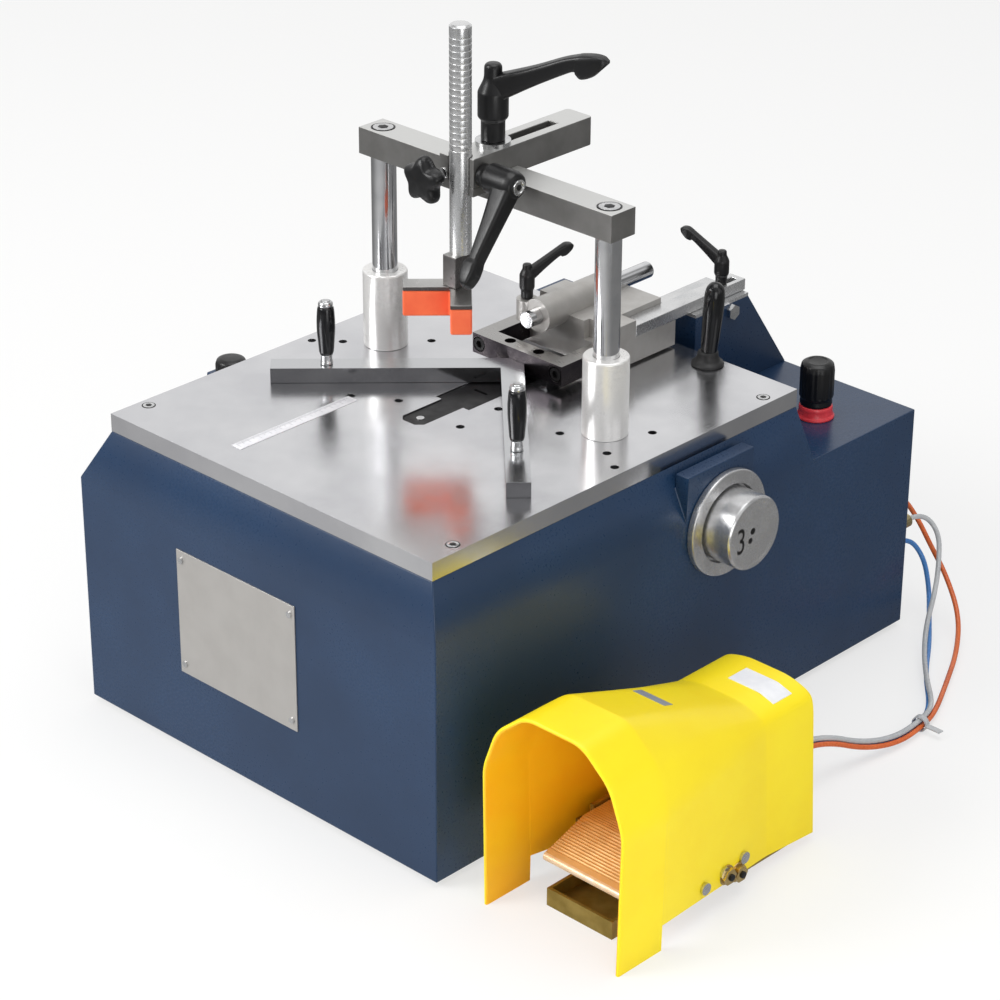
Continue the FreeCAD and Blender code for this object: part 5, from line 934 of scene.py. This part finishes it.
# a sticker is a thin sheet a little above the crown, whose height falls from the hood to the rear top
# and from the crown's edge to the shoulder
def makeSticker(name, sticker, guard):
    (x0, x1), (y0, y1) = sticker["x"], sticker["y"]
    x, y = np.meshgrid(np.linspace(x0, x1, 18), np.linspace(y0, y1, 5))
    share = np.interp(y, (guard["bendFront"], guard["bendRear"]), (0, 1))
    size = {key: guard["front"][key] + (guard["rear"][key] - guard["front"][key]) * share
            for key in guard["front"]}
    aside = np.clip((np.abs(x) - size["crown"]) / (size["shoulder"] - size["crown"]), 0, 1)
    crown = size["top"] - aside * (size["top"] - size["shoulderZ"])
    top = np.stack((guardMiddle + x, guardFront + y, crown + 0.35), -1)
    bottom = np.stack((guardMiddle + x, guardFront + y, crown - 0.1), -1)[:, ::-1]
    makePiece(name, [makeShell(placed(np.concatenate((top, bottom), 1)), 0, "strip")], "machine",
              (sticker["finish"],))


for stickerName, sticker in stickerSettings.items():
    makeSticker(stickerName, sticker, guardSettings)

# treadle: a plate that rises from its nose to its heel, with fine ribs across, a rolled nose and side lugs
treadleSettings = {"half": 37.0, "thick": 6.0, "nose": (33, 37), "heel": (73, 50), "back": 140, "pitch": 2.4,
                   "ribHeight": 0.45, "ribFrom": 38, "pivot": (128, 40), "lugX": 28, "lugThick": 5}


def makeTreadle(settings):
    (noseY, noseZ), (heelY, heelZ) = settings["nose"], settings["heel"]
    y = np.arange(noseY + 1.5, settings["back"], settings["pitch"] / 6)
    plain = np.interp(y, (noseY, heelY, settings["back"]), (noseZ, heelZ, heelZ))
    wave = np.clip(1.6 * np.cos(2 * np.pi * y / settings["pitch"]), -1, 1)
    top = plain - 0.5 * settings["ribHeight"] * (1 - wave) * (y > settings["ribFrom"])
    bottom = plain - settings["thick"]
    turn = np.linspace(0, np.pi, 9)[1:-1]
    nose = np.stack((noseY + 1.5 - 3.0 * np.sin(turn),
                     top[0] - settings["thick"] * (1 - np.cos(turn)) / 2), -1)
    nose = nose[::-1]
    section = np.vstack((nose[3:], np.stack((y, top), -1), np.stack((y, bottom), -1)[::-1], nose[:3]))
    if len(section) % 2:
        section = section[:-1]
    half = settings["half"]
    across = np.array((-half, -half + 0.5, half - 0.5, half))
    drawn = np.array((0.985, 1.0, 1.0, 0.985))
    middle = section.mean(0)
    flat = middle + (section - middle) * drawn[:, None, None]
    grid = np.concatenate((guardMiddle + across[:, None, None] + 0 * flat[..., :1],
                           guardFront + flat[..., :1], flat[..., 1:]), -1)
    finish = np.where((np.arange(len(section)) < 4) | (np.arange(len(section)) > len(section) - 5), 1, 0)
    shells = [makeShell(placed(grid), finish, "strip")]
    pivotY, pivotZ = settings["pivot"]
    lug = roundOutline(((pivotY - 8, pivotZ - 7), (pivotY + 8, pivotZ - 7), (pivotY + 8, heelZ - 5),
                        (pivotY - 12, heelZ - 5)), 4)
    for side in (-1, 1):
        inner = side * settings["lugX"] - settings["lugThick"] / 2
        shells.append(makeShell(placed(plate(lug, inner, inner + settings["lugThick"], 0.4),
                                       (guardMiddle, guardFront, 0), (0, 1, 0), (1, 0, 0)), 0))
    makePiece("treadle", shells, "pedal", ("ribbedAlloy", "paleAlloy"), "treadle", 25)


makeTreadle(treadleSettings)

# nuts and washers on the pedal's near side, beside the CAD screws
nutSettings = {"nut": 6.4, "washer": 7.6, "places": ((-131.5, 20.5), (-117.5, 15.5))}


def makeGuardNuts(settings, guard):
    shells = []
    for y, z in settings["places"]:
        share = np.interp(y - guardFront, (guard["bendFront"], guard["bendRear"]), (0, 1))
        foot = guard["front"]["foot"] + (guard["rear"]["foot"] - guard["front"]["foot"]) * share
        hip = guard["front"]["hip"] + (guard["rear"]["hip"] - guard["front"]["hip"]) * share
        skin = guardMiddle + foot + (hip - foot) * z / guard["front"]["hipZ"]
        where = {"origin": (skin - 0.4, y, z), "xAxis": (0, 1, 0), "zAxis": (1, 0, 0)}
        shells.append(makeShell(placed(plate(circle(settings["washer"], 32), 0, 1.6, 0.3), **where), 0))
        shells.append(makeShell(placed(plate(circle(settings["nut"], 6), 1.5, 5.5, 0.5), **where), 0))
        shells.append(makeShell(placed(plate(circle(2.6, 20), 5, 7.2, 0.4), **where), 1))
    makePiece("guardNuts", shells, "machine", ("brassNut", "blackOxideAndHoleShade"), sharp=30)


makeGuardNuts(nutSettings, guardSettings)
print("foot pedal made")

# rule on the table: a pale band with a line at every millimetre and longer ones at every fifth and tenth
ruleSettings = {"thick": 0.35, "lineWidth": 0.22,
                "lengths": (7.0, 3.2, 3.2, 3.2, 3.2, 5.0, 3.2, 3.2, 3.2, 3.2)}


def makeRule(settings):
    low, high = boxOf("rule_strip")
    left = low[0]
    band = plate(rectangle(left, high[0], low[1], high[1], 0.4), low[2], low[2] + settings["thick"], 0.1)
    marks = np.arange(low[1] + 3, high[1] - 2.5, 1.0)
    lengths = np.resize(settings["lengths"], len(marks))
    half = settings["lineWidth"] / 2
    shells = [makeShell(placed(band), 0)]
    height = np.array((settings["thick"] - 0.05, settings["thick"] + 0.06))[:, None, None]
    for y, length in zip(marks, lengths):
        line = np.array(((left + 0.5, y - half), (left + length, y - half), (left + length, y + half),
                         (left + 0.5, y + half)))
        mark = np.concatenate((line, line)).reshape(2, 4, 2)
        shells.append(makeShell(placed(np.concatenate((mark, low[2] + height + 0 * mark[..., :1]), -1)), 1))
    makePiece("ruleStrip", shells, "machine", ("whiteEnamel", "greyPrint"), "rule_strip")


makeRule(ruleSettings)

# socket heads on the CAD screws: dark ring painted as the counterbore's shade, bright head, dark hexagon
# painted as socket shade
socketSettings = {
    "bridgeSockets": {"body": "bridge", "places": ((-112.5, -16.5), (112.5, -16.5)), "top": 416.0,
                      "ring": 8.8, "head": 7.7, "hexagon": 4.2},
    "tableSockets": {"body": "machine", "places": ((-156, -216), (156, -216), (-156, 109), (156, 109)),
                     "top": 242.0, "ring": 5.2, "head": 4.3, "hexagon": 2.5},
}


def makeSockets(name, settings):
    shells = []
    for place in settings["places"]:
        where = {"origin": (*place, settings["top"])}
        # the ring and the hexagon are painted shade: the gap round the head and the socket's hole
        steps = ((settings["ring"], 40, 0.0, 0.12, 1), (settings["head"], 40, 0.05, 0.3, 0),
                 (settings["hexagon"], 6, 0.2, 0.36, 1))
        for radius, corners, foot, top, finish in steps:
            shells.append(makeShell(placed(plate(circle(radius, corners), foot, top, 0.08), **where), finish))
    makePiece(name, shells, settings["body"], ("brightScrew", "blackOxideAndHoleShade"), sharp=30)


for socketName, sockets in socketSettings.items():
    makeSockets(socketName, sockets)

# machined and sheet-metal parts keep their CAD shape and get broken edges: node, body, finish, slot,
# edge in mm
softenSettings = {
    "casingShell": ("casing", "machine", "navyPowderCoat", "navy_paint", 1.2),
    "rearTower": ("tower", "machine", "navyPowderCoat", "navy_paint", 1.0),
    "tablePlate": ("table", "machine", "groundSteel", "brushed_plate", 0.8),
    "crossbar": ("crossbar", "bridge", "milledBar", "bare_steel", 1.6),
    "slottedArm": ("arm", "sliding_arm", "milledBar", "arm_metal", 1.4),
    "clampHead": ("clamp_head", "sliding_arm", "milledBar", "bare_steel", 0.8),
    "magnetBlock": ("magnet_block", "pressure_rod", "blockSteel", "bare_steel", 0.8),
    "padPlate": ("pad_plate", "pressure_rod", "blockSteel", "bare_steel", 0.4),
    "pressurePad": ("pressure_pad", "pressure_rod", "castPolyurethane", "orange_pad", 1.6),
    "noseBlock": ("nose_block", "carriage", "oxidedBlock", "dark_steel", 0.7),
    "carriageCasting": ("carriage_casting", "carriage", "castAluminium", "cast_aluminium", 1.0),
    "fenceLeft": ("fence_left", "carriage", "fenceSteel", "brushed_plate", 0.5),
    "fenceRight": ("fence_right", "carriage", "fenceSteel", "brushed_plate", 0.5),
    "railBar": ("rail_bar", "carriage", "groundBar", "bare_steel", 0.7),
    "towerCap": ("tower_cap", "machine", "groundBar", "bare_steel", 0.5),
    "columnSleeves": ("column_tubes", "machine", "turnedAluminium", "cast_aluminium", 0.9),
    "pressRods": ("press_rods", "bridge", "hardChrome", "bright_steel", 0.6),
    "backstopRod": ("backstop_rod", "backstop", "hardChrome", "bright_steel", 0.8),
    "labelPlate": ("label_plate", "machine", "labelSheet", "bare_steel", 0.25),
}
print("machined parts next")
softened = {name: soften(name, *part) for name, part in softenSettings.items()}
print("machined parts softened:", len(softened))

# the finish of each CAD node that shows as it is
nodeFinishes = {
    "navyPowderCoat": ("rear_panel",),
    "milledSteel": ("base_frame", "press_cylinders", "driver_cylinder", "magazine", "driver_blade",
                    "nail_pusher"),
    "brightScrew": ("machine_screws", "bridge_screws", "label_rivets", "pedal_screws", "valve_plunger"),
    "blackOxideAndHoleShade": ("nose_screws",),
    "turnedAluminium": ("pedal_valve",),
    "blackenedSteel": ("magazine_cover",),
    "mouldedRubber": ("rubber_feet",),
    "passivatedSheet": ("pedal_base",),
    "platedBrass": ("air_fittings", "valve_posts"),
    "clearTube": ("tie_wrap",),
}
for finish, names in nodeFinishes.items():
    for name in names:
        data = nodes[name].data
        data.materials.clear()
        data.materials.append(finishes[finish])
for name, finish in (("redTube", "orangeTube"), ("blueTube", "blueTube"), ("clearTube", "clearTube")):
    tubes[name].data.materials.append(finishes[finish])
